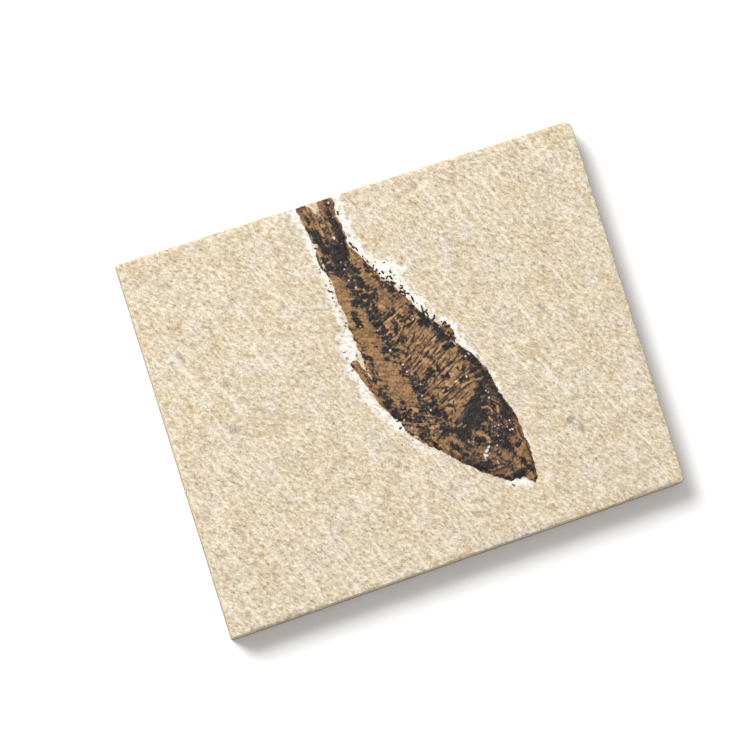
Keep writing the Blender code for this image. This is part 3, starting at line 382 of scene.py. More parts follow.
# Loose chips of bone on the stone round the fish
CHIPS = (
    (0.6, (-2.7, 37.8), (-2.5, 37.3)), (0.4, (-2.4, 36.6), (-2.1, 36.2)),
    (0.35, (-1.7, 36.0), (-1.4, 35.3)), (0.35, (-1.4, 35.1)), (0.4, (-3.2, 46.6), (-3.3, 45.9)),
    (0.35, (-0.5, 33.4)), (0.5, (1.5, 28.6), (1.9, 28.8)), (0.4, (2.2, 27.6)),
    (0.3, (3.0, 27.9), (3.4, 27.3)), (0.4, (2.5, 26.4), (2.9, 26.0)), (0.4, (5.1, 27.4), (5.3, 27.0)),
    (0.35, (5.8, 26.2)), (0.4, (4.8, 26.2), (4.9, 25.4)), (0.4, (3.6, 25.8), (4.2, 26.3)),
    (0.7, (4.7, 24.5), (5.1, 24.1)), (0.3, (7.0, 24.0)), (0.5, (6.3, 22.2), (6.9, 22.3)),
    (0.3, (7.1, 22.8)), (0.45, (6.0, 21.4), (6.6, 21.1)), (0.4, (7.2, 21.4), (6.9, 20.2)),
    (0.5, (7.7, 20.4), (8.0, 20.2)), (0.35, (8.5, 19.2), (8.6, 18.2)), (0.35, (8.7, 17.7)),
    (0.3, (9.4, 17.1)), (0.3, (10.2, 16.2), (10.1, 14.4)), (0.3, (11.3, 14.7), (10.5, 14.2)),
    (0.35, (10.9, 13.9), (11.2, 13.2), (10.8, 12.8)), (0.45, (12.8, 12.6), (12.5, 12.0), (11.8, 11.7)),
    (0.3, (13.8, 10.5)), (0.5, (14.2, 9.9), (14.9, 10.1)), (0.5, (14.2, 9.0), (15.0, 8.6), (15.6, 9.0)),
    (0.35, (15.2, 6.6), (16.0, 6.5)), (0.35, (16.1, 7.4)), (0.25, (16.2, 5.3)), (0.25, (17.6, 5.3)),
    (0.4, (4.4, 30.1)), (0.3, (2.2, 30.8)), (0.3, (1.2, 29.6), (1.5, 30.2)),
    (0.3, (0.6, 31.4), (0.2, 31.9)), (0.4, (-12.2, 29.0)), (0.35, (-12.1, 27.4), (-11.8, 27.0)),
    (0.35, (-11.3, 26.9), (-11.2, 26.5)), (0.45, (-11.6, 25.3)), (0.3, (-11.4, 24.2)),
    (0.3, (-11.3, 23.1)), (0.35, (-10.9, 21.2)), (0.3, (-10.3, 17.8)), (0.3, (-10.7, 17.0)),
    (0.35, (-10.9, 29.7)), (0.3, (-10.9, 28.9)), (0.3, (-12.5, 33.5)), (0.35, (-12.5, 32.7)),
    (0.35, (-13.2, 10.5)), (0.3, (-13.0, 9.0)), (0.3, (-10.2, 8.9)), (0.35, (-12.7, 5.5)),
    (0.35, (-11.9, 39.1), (-11.6, 39.0)), (0.35, (-5.5, -12.9), (-5.0, -12.8)),
    (0.3, (-5.6, -11.0), (-5.0, -10.9)), (0.3, (18.3, -36.0), (18.6, -36.6)), (0.25, (-6.1, -17.2)),
    (0.25, (-3.0, -16.8)), (0.3, (6.7, 23.0)), (0.25, (6.0, 25.0)), (0.25, (3.9, 24.9)),
)

# How dark the plain film is, and how strongly it is flecked
FILM_DARKNESS = 0.42
FILM_MOTTLE = 0.17
# Strokes of black bone up to this width are hairs and ribs, with clean edges; wider ones are ragged
HAIR_WIDTH = 0.5
RAGGED_BONE = [stroke for stroke in BLACK_BONE if stroke[0] > HAIR_WIDTH]
# The ribs leave the backbone at these heights and angles, in degrees above +X
RIB_ROOTS = (-16.0, -10.0, -4.0, 2.0, 8.0, 16.0, 34.0)
RIB_ANGLES = (12.0, 20.0, 27.0, 34.0, 38.0, 20.0, 8.0)
# On the back the spines lean the other way
SPINE_ANGLE = -22.0
RIB_SPACING = 0.86
# Darkness, flecking, softness and raggedness in millimetres, and strokes, in the order they are laid
MARKINGS = tuple((value, mottling, 0.8, 0.5, strokes) for value, mottling, strokes in WASHES) + (
    (0.38, 0.16, 0.35, 0.2, TAN_FILM),
    (0.54, 0.16, 0.35, 0.35, [(width + 0.5, *points) for width, *points in RAGGED_BONE]),
    (0.90, 0.14, 0.22, 0.26, RAGGED_BONE),
    (0.78, 0.12, 0.15, 0.06, [stroke for stroke in BLACK_BONE if stroke[0] <= HAIR_WIDTH]),
    (0.84, 0.14, 0.15, 0.10, [(width + 0.3, *points) for width, *points in CHIPS]),
    (0.20, 0.10, 0.16, 0.1, PALE_AND_LIT_FILM))
BONE_COLOURS = ((0.0, "#c2a078"), (0.2, "#a37f56"), (0.4, "#7e6042"), (0.6, "#574537"), (0.8, "#332c28"),
                (1.0, "#1c1a19"))
# Scraped pale round the fish: strokes as above
SCRAPED = (
    (1.6, (-14.0, 51.0), (-13.6, 46.0), (-13.2, 42.0), (-12.6, 39.0), (-13.0, 35.0), (-11.8, 32.0),
     (-11.4, 26.0), (-11.2, 20.0), (-11.0, 16.0)), (3.6, (-11.8, 14.0), (-12.0, 8.0), (-11.8, 4.0)),
    (2.6, (-11.6, 2.0), (-10.8, -3.0), (-9.4, -7.0)), (2.4, (-8.6, -8.0), (-6.6, -11.0), (-5.4, -13.0)),
     (1.0, (-4.4, -15.0), (-2.0, -18.0), (0.6, -20.6), (2.4, -22.4)), (2.6, (-2.6, 51.0), (-2.4, 44.0),
     (-1.8, 38.0), (0.2, 33.0)), (3.6, (1.6, 31.0), (4.6, 28.0), (6.4, 24.6)),
    (3.4, (5.6, 29.6), (7.6, 27.0)), (2.4, (7.6, 21.6), (9.2, 18.0), (10.6, 15.4), (12.6, 12.6)),
    (1.8, (13.4, 11.6), (15.6, 9.6), (16.6, 6.0)), (2.2, (16.8, 5.0), (18.2, 2.6), (19.4, 0.6)),
    (1.0, (20.4, -2.0), (22.0, -6.0), (23.0, -11.0)), (1.0, (25.9, -24.0), (26.1, -27.0)),
    (1.6, (18.6, -36.2), (21.4, -35.8), (22.6, -37.6)),
)
STAINS = (
    (1.2, (-47.6, 0.6), (-46.4, -0.6)), (1.2, (-51.4, -9.6), (-50.6, -10.6)),
    (1.0, (-45.4, 28.4), (-44.6, 27.6)), (1.2, (-54.4, 22.4), (-53.6, 21.4)),
    (0.9, (-45.4, 12.4), (-44.6, 11.6)), (1.4, (40.2, 5.9), (40.8, 5.1)),
    (1.5, (18.1, 47.6), (18.9, 47.3)), (1.6, (40.0, -26.8), (40.3, -27.4)),
    (1.5, (37.8, -24.3), (38.2, -24.8)), (1.4, (7.6, -37.2), (9.0, -38.3)),
)

# Camera, as read from the photograph's perspective; its up is turned from +Y towards +X
CAMERA_PLACE = (-74.74, -32.19, 634.46)
CAMERA_TARGET = (-6.92, 1.78, 8.0)
CAMERA_TURN = np.radians(18.2)
FOCAL_LENGTH_PX = 2400.0
IMAGE_WIDTH_PX = 754.0
SENSOR_WIDTH = 36.0
# Lights: name, place in metres, side in metres, power in watts
LIGHTS = (("key", (-0.8, 1.37, 1.33), 1.1, 62.0), ("fill", (0.9, -0.6, 1.5), 1.2, 4.0))
SURROUND_STRENGTH = 0.45


def lattice_noise(x, y, seed):
    """A smooth random field from -1 to 1 with bumps about one unit wide."""
    lattice = np.random.default_rng(seed).uniform(-1.0, 1.0, (128, 128))
    column, row = np.floor(x).astype(int), np.floor(y).astype(int)
    u, v = x - column, y - row
    u, v = u * u * (3.0 - 2.0 * u), v * v * (3.0 - 2.0 * v)
    left, right = column % 128, (column + 1) % 128
    low, high = row % 128, (row + 1) % 128
    bottom = lattice[low, left] * (1.0 - u) + lattice[low, right] * u
    top = lattice[high, left] * (1.0 - u) + lattice[high, right] * u
    return bottom * (1.0 - v) + top * v


def layered_noise(x, y, size, seed, layers=3, gain=0.55):
    """Noise of several sizes, the largest with bumps of the given size, each next one half as large."""
    total = np.zeros_like(x)
    weight, power = 1.0, 0.0
    for layer in range(layers):
        scale = 2.0 ** layer / size
        turn = 0.9 * layer
        along = (x * np.cos(turn) + y * np.sin(turn)) * scale
        across = (-x * np.sin(turn) + y * np.cos(turn)) * scale
        total += weight * lattice_noise(along + 17.3 * layer, across - 9.1 * layer, seed + layer)
        power += weight ** 2
        weight *= gain
    return 1.4 * total / power ** 0.5


def streaked_noise(x, y, angle, length, width, seed):
    """Noise drawn out along a direction, given in degrees from +X."""
    turn = np.radians(angle)
    along = x * np.cos(turn) + y * np.sin(turn)
    across = -x * np.sin(turn) + y * np.cos(turn)
    return lattice_noise(along / length, across / width, seed)


def smoothstep(low, high, value):
    t = np.clip((value - low) / (high - low), 0.0, 1.0)
    return t * t * (3.0 - 2.0 * t)


def bump(distance, width):
    return np.exp(-(distance / width) ** 2)


def smooth_curve(points, steps=3):
    """Points on a Catmull-Rom curve through the given ones."""
    known = np.array(points, dtype=float)
    known = np.vstack([2 * known[0] - known[1], known, 2 * known[-1] - known[-2]])
    rows = []
    for segment in range(len(points) - 1):
        before, start, end, after = known[segment:segment + 4]
        for t in np.arange(steps) / steps:
            rows.append(0.5 * (2 * start + (end - before) * t
                               + (2 * before - 5 * start + 4 * end - after) * t ** 2
                               + (3 * start - before - 3 * end + after) * t ** 3))
    rows.append(known[-2])
    return np.array(rows)


def line_distance(x, y, points):
    """Distance of each (x, y) to a chain of straight pieces, or to a point."""
    points = np.array(points, dtype=float)
    nearest = np.hypot(x - points[0, 0], y - points[0, 1])
    for start, end in zip(points[:-1], points[1:]):
        along = end - start
        t = np.clip(((x - start[0]) * along[0] + (y - start[1]) * along[1]) / (along @ along), 0.0, 1.0)
        nearest = np.minimum(nearest, np.hypot(x - start[0] - t * along[0], y - start[1] - t * along[1]))
    return nearest


def depth_in_outline(x, y, corners):
    """How deep each (x, y) lies in the closed outline: negative outside."""
    within = np.zeros(x.shape, dtype=bool)
    for (x0, y0), (x1, y1) in zip(corners, np.roll(corners, -1, axis=0)):
        if y0 != y1:
            within ^= ((y0 > y) != (y1 > y)) & (x < (x1 - x0) * (y - y0) / (y1 - y0) + x0)
    side = np.where(within, 1.0, -1.0)
    return side * line_distance(x, y, np.vstack([corners, corners[:1]]))


def depth_in_strokes(x, y, strokes):
    """How deep each (x, y) lies in the nearest of the strokes, (width, point, ...): negative outside."""
    deepest = np.full(x.shape, -9.0)
    for width, *points in strokes:
        low, high = np.min(points, axis=0), np.max(points, axis=0)
        reach = width / 2.0 + 1.2
        near = (x > low[0] - reach) & (x < high[0] + reach) & (y > low[1] - reach) & (y < high[1] + reach)
        depth = width / 2.0 - line_distance(x[near], y[near], points)
        deepest[near] = np.maximum(deepest[near], depth)
    return deepest


def warped(x, y, size, amount, seed):
    """The places moved a little at random, so that what is drawn there gets ragged edges."""
    return x + amount * layered_noise(x, y, size, seed), y + amount * layered_noise(x, y, size, seed + 10)


def body_outline():
    return np.vstack([smooth_curve(BACK_EDGE), smooth_curve(BELLY_EDGE), smooth_curve(FORK_EDGE)])


def fin_outline():
    return smooth_curve(FIN_EDGE + FIN_EDGE[:1])[:-1]


def tail_end_y(x):
    """The y of the plate's +Y arris, at which the tail is sawn off."""
    left, right = FACE_CORNERS["left_back"], FACE_CORNERS["right_back"]
    return left[1] - ARRIS_WIDTH + (right[1] - left[1]) * (x - left[0]) / (right[0] - left[0])


def fish_depth(x, y):
    """How deep each (x, y) lies in the fish's smooth outline: negative outside."""
    return np.maximum(depth_in_outline(x, y, body_outline()), depth_in_outline(x, y, fin_outline()))


def bone_depth(x, y):
    """The same with ragged edges, the loose chips and the sawn end of the tail."""
    depth = fish_depth(x, y) + 0.16 * layered_noise(x, y, 0.9, 11) + 0.05 * layered_noise(x, y, 0.3, 15, 2)
    chips = depth_in_strokes(*warped(x, y, 0.7, 0.12, 21), CHIPS) + 0.05
    return np.minimum(np.maximum(depth, chips), tail_end_y(x) - y)


def rib_field(x, y):
    """Where the rib or spine through each (x, y) meets the backbone, and how far along it that is."""
    spine = smooth_curve(BACKBONE)[::-1]
    root_x, root_y = np.interp(y, spine[:, 1], spine[:, 0]), y
    for _ in range(8):
        angle = np.where(x > root_x, np.interp(root_y, RIB_ROOTS, RIB_ANGLES), SPINE_ANGLE)
        root_y = 0.5 * (root_y + y - np.tan(np.radians(angle)) * (x - root_x))
        root_x = np.interp(root_y, spine[:, 1], spine[:, 0])
    return root_y, (x - root_x) / np.cos(np.radians(angle))


def fine_ribs(root, along):
    """Hair-thin dark ribs, each broken along its length, from 0 to 1."""
    wavering = root / RIB_SPACING + 0.16 * lattice_noise(along / 3.0, root / 1.3, 41)
    number = np.round(wavering)
    line = bump((wavering - number) * RIB_SPACING, 0.17)
    broken = smoothstep(-0.15, 0.5, lattice_noise(along / 1.9, number * 3.7, 42))
    return line * broken


def streaks(x, y, root, along, width, seed):
    """Noise drawn out the way the bones lie: along the tail, along the ribs, and round the gill cover."""
    away_x, away_y = x - GILL_COVER_CENTRE[0], y - GILL_COVER_CENTRE[1]
    from_gill = np.hypot(away_x, away_y)
    length = 5.0 * width
    tail = lattice_noise(y / length, (x + 0.11 * y) / width, seed)
    ribs = lattice_noise(along / length, root / width, seed + 1)
    around_gill = GILL_COVER_RADIUS * np.arctan2(away_y, away_x)
    head = lattice_noise(around_gill / length, from_gill / width, seed + 2)
    in_tail = smoothstep(31.0, 36.0, y)
    in_head = np.maximum(smoothstep(8.5, 6.5, from_gill), smoothstep(-17.0, -22.0, y))
    return tail * in_tail + head * in_head + ribs * (1.0 - in_tail - in_head)


def markings(x, y):
    """How dark the fossil is, from 0 for pale tan film to 1 for black bone, and how much calcite shows."""
    place = warped(*warped(x, y, 1.3, 0.10, 31), 0.4, 0.04, 35)
    root, along = rib_field(x, y)
    speckle = 0.8 * layered_noise(x, y, 0.5, 51, 2, 0.7) + 0.9 * streaks(x, y, root, along, 0.34, 61)
    speckle = np.tanh(1.2 * speckle)
    dark = np.full(x.shape, FILM_DARKNESS)
    mottle = np.full(x.shape, FILM_MOTTLE)
    for value, mottling, softness, ragged, strokes in MARKINGS:
        cover = smoothstep(-softness, softness, depth_in_strokes(*place, strokes) + ragged * speckle)
        dark += (value - dark) * cover
        mottle += (mottling - mottle) * cover
    ribs = fine_ribs(root, along) * smoothstep(-13.0, -10.0, root) * (1.0 - smoothstep(9.0, 14.0, root))
    dark += 0.42 * ribs * (1.0 - dark) * smoothstep(0.5, 2.5, along)
    dark += mottle * speckle + 0.06 * layered_noise(x, y, 0.3, 65, 2)
    calcite = smoothstep(-0.10, 0.16, depth_in_strokes(*place, CALCITE) - 0.04 + 0.12 * speckle)
    return np.clip(dark, 0.0, 1.0), calcite


def frame_noise(x, y, length, shift=(0.0, 0.0, 0.0)):
    """The plate's own swells, as in the frame: Perlin noise with the given length."""
    shift = Vector(shift)
    return np.array([noise.noise(Vector((a / length, b / length, 0.0)) + shift) for a, b in zip(x, y)])


def stone_height(x, y, depth):
    """Height of the split face above the plate's foot; depth is that in the fish's outline."""
    height = THICKNESS + SWELL_HEIGHT * frame_noise(x, y, SWELL_LENGTH)
    height += LEDGE_HEIGHT * frame_noise(x, y, LEDGE_LENGTH, (7.0, 3.0, 1.0))
    height -= SCRAPE_DEPTH * bump(np.maximum(-depth, 0.0), SCRAPE_REACH)
    grain = streaked_noise(x, y, GRAIN_ANGLE, GRAIN_LENGTH, GRAIN_WIDTH, 71)
    grain += 0.6 * streaked_noise(x, y, GRAIN_ANGLE + 20.0, GRAIN_LENGTH / 2, GRAIN_WIDTH / 2, 72)
    return height + GRAIN_HEIGHT * grain


def bone_relief(x, y, dark, calcite):
    """What the bones of the fish add to its film: backbone, gill cover, eye socket and black bone."""
    spine = smooth_curve(BACKBONE)
    from_spine = line_distance(x, y, spine)
    trunk = smoothstep(-20.0, -14.0, y)
    rise = HEAD_RISE * (1.0 - trunk)
    vertebrae = 0.75 + 0.25 * np.cos(2.0 * np.pi * y / VERTEBRA_LENGTH)
    rise += BACKBONE_RISE * trunk * vertebrae * bump(from_spine, BACKBONE_HALF_WIDTH)
    from_gill = np.hypot(x - GILL_COVER_CENTRE[0], y - GILL_COVER_CENTRE[1])
    rise += GILL_COVER_RISE * (1.0 - smoothstep(GILL_COVER_RADIUS - 1.4, GILL_COVER_RADIUS, from_gill))
    from_eye = np.hypot(x - ORBIT_CENTRE[0], y - ORBIT_CENTRE[1])
    rise += ORBIT_RIM_RISE * (bump(from_eye - ORBIT_RADIUS, 0.6) - bump(from_eye, 1.2))
    rise += BLACK_BONE_RISE * smoothstep(0.45, 0.85, dark) - 0.08 * calcite
    return rise + 0.02 * layered_noise(x, y, 0.5, 81)


def mesh_points(item):
    points = np.empty(len(item.data.vertices) * 3)
    item.data.vertices.foreach_get("co", points)
    return points.reshape(-1, 3)


def set_mesh_points(item, points):
    item.data.vertices.foreach_set("co", np.ascontiguousarray(points).ravel())
    item.data.update()


def add_attribute(item, name, values):
    layer = item.data.attributes.new(name, "FLOAT", "POINT")
    layer.data.foreach_set("value", np.ascontiguousarray(values, dtype=np.float32))


def add_grid(name, low, high, columns, rows, level):
    """A flat grid with corners low and high at the given level, as a new object, the only one selected."""
    bpy.ops.object.select_all(action="DESELECT")
    bpy.ops.mesh.primitive_grid_add(x_subdivisions=columns, y_subdivisions=rows, size=1.0)
    item = bpy.context.object
    item.name = item.data.name = name
    points = mesh_points(item)
    corner, size = np.array((*low, level)), np.array((*high, level)) - np.array((*low, level))
    set_mesh_points(item, corner + (points + (0.5, 0.5, 0.0)) * size)
    return item


def edit(item):
    bpy.ops.object.select_all(action="DESELECT")
    bpy.context.view_layer.objects.active = item
    item.select_set(True)
    bpy.ops.object.mode_set(mode="EDIT")
    bpy.ops.mesh.select_all(action="DESELECT")


def select_border(item):
    """Select the open border, in edit mode."""
    bpy.ops.mesh.select_all(action="DESELECT")
    bm = bmesh.from_edit_mesh(item.data)
    for edge in bm.edges:
        if edge.is_boundary:
            edge.select_set(True)
    bmesh.update_edit_mesh(item.data)


def finish_mesh(item, angle):
    """Point the faces outwards, put the place in metres and shade smooth up to the given angle."""
    bpy.ops.mesh.select_all(action="SELECT")
    bpy.ops.mesh.normals_make_consistent(inside=False)
    bpy.ops.mesh.select_all(action="DESELECT")
    bpy.ops.object.mode_set(mode="OBJECT")
    set_mesh_points(item, mesh_points(item) * MM)
    bpy.ops.object.shade_smooth_by_angle(angle=np.radians(angle))


def rounded_rectangle(across, along, length, width):
    """Pull the grid of a rectangle in at its corners, so that they are round."""
    x, y = across * length, along * width
    worn = (across > 0.5) & (along > 0.5)
    radius = np.where(worn, WORN_CORNER_RADIUS, SHARP_CORNER_RADIUS)
    centre_x = np.where(across > 0.5, length - radius, radius)
    centre_y = np.where(along > 0.5, width - radius, radius)
    away_x, away_y = x - centre_x, y - centre_y
    reach = np.hypot(away_x, away_y)
    corner = (away_x * (across - 0.5) > 0.0) & (away_y * (along - 0.5) > 0.0)
    pull = np.where(corner, np.maximum(abs(away_x), abs(away_y)) / np.maximum(reach, 1e-6), 1.0)
    return (centre_x + away_x * pull) / length, (centre_y + away_y * pull) / width


def face_place(across, along):
    """A point of the face between its four corners, set in by the width of the worn arris."""
    corners = {name: np.array(corner)[:, None] for name, corner in FACE_CORNERS.items()}
    front_left, front_right = corners["left_front"], corners["right_front"]
    back_left, back_right = corners["left_back"], corners["right_back"]
    front = front_left + (front_right - front_left) * across
    back = back_left + (back_right - back_left) * across
    x, y = front + (back - front) * along
    return x / (1.0 + ARRIS_WIDTH / HALF_LENGTH), y / (1.0 + ARRIS_WIDTH / HALF_WIDTH)


def model_slab():
    """The plate: a grid for the split face, walls extruded down from its border, and a flat underside."""
    slab = add_grid("slab", (0.0, 0.0), (1.0, 1.0), GRID_COLUMNS, GRID_ROWS, THICKNESS)
    edit(slab)
    level = THICKNESS
    for below in SIDE_LEVELS:
        select_border(slab)
        bpy.ops.mesh.extrude_region_move(TRANSFORM_OT_translate={"value": (0.0, 0.0, below - level)})
        level = below
    select_border(slab)
    bpy.ops.mesh.edge_face_add()
    bpy.ops.object.mode_set(mode="OBJECT")

    points = mesh_points(slab)
    levels = points[:, 2]
    across, along = rounded_rectangle(points[:, 0], points[:, 1], 2 * HALF_LENGTH, 2 * HALF_WIDTH)
    x, y = face_place(across, along)
    depth = fish_depth(x, y)
    on_face = levels > THICKNESS - 0.01
    in_from_edge = np.minimum.reduce([points[:, 0], 1 - points[:, 0]]) * 2 * HALF_LENGTH
    in_from_edge = np.minimum(in_from_edge, np.minimum(points[:, 1], 1 - points[:, 1]) * 2 * HALF_WIDTH)
    height = stone_height(x, y, depth)
    # Worn and chipped arris
    wear = 0.5 + 0.5 * layered_noise(x, y, 5.0, 91)
    height -= 0.3 * np.clip(wear, 0.1, 1.4) * (1.0 - smoothstep(0.0, 0.9, in_from_edge))
    height -= BED_DEPTH * smoothstep(0.2, 0.7, depth)
    # Sawn sides: they lean out towards the foot
    lean = smoothstep(THICKNESS, 0.3, levels)
    arris = smoothstep(THICKNESS, THICKNESS - 1.2, levels)
    saw = 0.03 * layered_noise(x * 0.35 + y * 0.35, levels, 0.9, 95)
    out_x = ARRIS_WIDTH * arris + LEAN_X * lean + saw
    out_y = ARRIS_WIDTH * arris + LEAN_Y * lean + saw
    foot = levels < 0.01
    out_x = np.where(foot, out_x - FOOT_CHAMFER, out_x)
    out_y = np.where(foot, out_y - FOOT_CHAMFER, out_y)
    side = ~on_face
    x = np.where(side, x * (1.0 + out_x / HALF_LENGTH), x)
    y = np.where(side, y * (1.0 + out_y / HALF_WIDTH), y)
    z = np.where(on_face, height, levels)
    set_mesh_points(slab, np.stack([x, y, z], axis=1))
    edit(slab)
    finish_mesh(slab, 50.0)
    scraped, stained = face_tones(x, y)
    add_attribute(slab, "scraped", scraped)
    add_attribute(slab, "stained", stained)
    for polygon in slab.data.polygons:
        polygon.material_index = 0 if polygon.center.z > ARRIS_FOOT * MM else 1
    return slab


def face_tones(x, y):
    """Where the stone is scraped pale round the fish, and where it has grey stains."""
    place = warped(x, y, 2.2, 0.7, 101)
    scraped = smoothstep(-0.5, 0.6, depth_in_strokes(*place, SCRAPED) + 0.5 * layered_noise(x, y, 1.0, 105))
    stained = smoothstep(-0.5, 0.4, depth_in_strokes(*place, STAINS))
    return scraped, stained


def model_fish():
    """The fish: a fine grid kept where there is bone, sculpted, and closed below in the stone."""
    columns = round((FISH_HIGH[0] - FISH_LOW[0]) / FISH_STEP)
    rows = round((FISH_HIGH[1] - FISH_LOW[1]) / FISH_STEP)
    fish = add_grid("fish", FISH_LOW, FISH_HIGH, columns, rows, THICKNESS)
    points = mesh_points(fish)
    step = (np.array(FISH_HIGH) - FISH_LOW) / (columns, rows)
    column = np.round((points[:, 0] - FISH_LOW[0]) / step[0]).astype(int)
    row = np.round((points[:, 1] - FISH_LOW[1]) / step[1]).astype(int)
    depth = np.full((rows + 1, columns + 1), -1.0)
    depth[row, column] = bone_depth(points[:, 0], points[:, 1])

    # Which squares of the grid are bone: those whose middle is, with no two that touch only at a corner
    bone = (depth[:-1, :-1] + depth[1:, :-1] + depth[:-1, 1:] + depth[1:, 1:]) > 0.0
    while True:
        first = bone[:-1, :-1] & bone[1:, 1:] & ~bone[1:, :-1] & ~bone[:-1, 1:]
        second = bone[1:, :-1] & bone[:-1, 1:] & ~bone[:-1, :-1] & ~bone[1:, 1:]
        if not (first.any() or second.any()):
            break
        bone[1:, :-1] |= first
        bone[:-1, :-1] |= second
    edit(fish)
    bm = bmesh.from_edit_mesh(fish.data)
    for face in bm.faces:
        middle = face.calc_center_median()
        face_column = int((middle.x - FISH_LOW[0]) / step[0])
        face_row = int((middle.y - FISH_LOW[1]) / step[1])
        face.select_set(not bone[face_row, face_column])
    bmesh.update_edit_mesh(fish.data)
    bpy.ops.mesh.delete(type="FACE")

    # The stepped border of the grid is moved onto the edge of the bone
    slope_y, slope_x = np.gradient(depth, step[1], step[0])
    bm = bmesh.from_edit_mesh(fish.data)
    for vert in bm.verts:
        if vert.is_boundary:
            c = round((vert.co.x - FISH_LOW[0]) / step[0])
            r = round((vert.co.y - FISH_LOW[1]) / step[1])
            slope = Vector((slope_x[r, c], slope_y[r, c]))
            move = slope * (-float(depth[r, c]) / max(slope.length_squared, 0.25))
            move *= min(1.0, 0.6 * FISH_STEP / max(move.length, 1e-6))
            vert.co.x += move.x
            vert.co.y += move.y
    bmesh.update_edit_mesh(fish.data)
    select_border(fish)
    down = (0.0, 0.0, FISH_UNDERSIDE - THICKNESS)
    bpy.ops.mesh.extrude_region_move(TRANSFORM_OT_translate={"value": down})
    bpy.ops.mesh.fill(use_beauty=False)
    bpy.ops.object.mode_set(mode="OBJECT")

    points = mesh_points(fish)
    x, y, level = points.T
    smooth_depth = fish_depth(x, y)
    dark, calcite = markings(x, y)
    stone = stone_height(x, y, smooth_depth)
    within = smoothstep(0.0, RIM_RUN, smooth_depth)
    relief = FILM_RISE + bone_relief(x, y, dark, calcite)
    height = stone + RIM_RISE + within * (THICKNESS + relief - stone - RIM_RISE)
    on_top = level > THICKNESS - 0.01
    points[:, 2] = np.where(on_top, height, level)
    set_mesh_points(fish, points)
    edit(fish)
    finish_mesh(fish, 60.0)
    add_attribute(fish, "dark", dark)
    add_attribute(fish, "calcite", calcite)
    return fish


def linear(hex_colour):
    """An sRGB hex colour as a linear one with alpha."""
    parts = [int(hex_colour[i:i + 2], 16) / 255.0 for i in (1, 3, 5)]
    return [c / 12.92 if c <= 0.04045 else ((c + 0.055) / 1.055) ** 2.4 for c in parts] + [1.0]


def add_node(material, kind, inputs=None, stops=None, **settings):
    """Add a node with its settings, the values or links of its inputs, and the colours of its ramp."""
    tree = material.node_tree
    node = tree.nodes.new(kind)
    for name, value in settings.items():
        setattr(node, name, value)
    for name, value in (inputs or {}).items():
        if isinstance(value, bpy.types.NodeSocket):
            tree.links.new(value, node.inputs[name])
        else:
            node.inputs[name].default_value = value
    if stops:
        elements = node.color_ramp.elements
        while len(elements) < len(stops):
            elements.new(0.5)
        for element, (place, hex_colour) in zip(elements, stops):
            element.position = place
            element.color = linear(hex_colour)
    return node


def new_material(name):
    material = bpy.data.materials.new(name)
    material.use_nodes = True
    material.node_tree.nodes.clear()
    return material


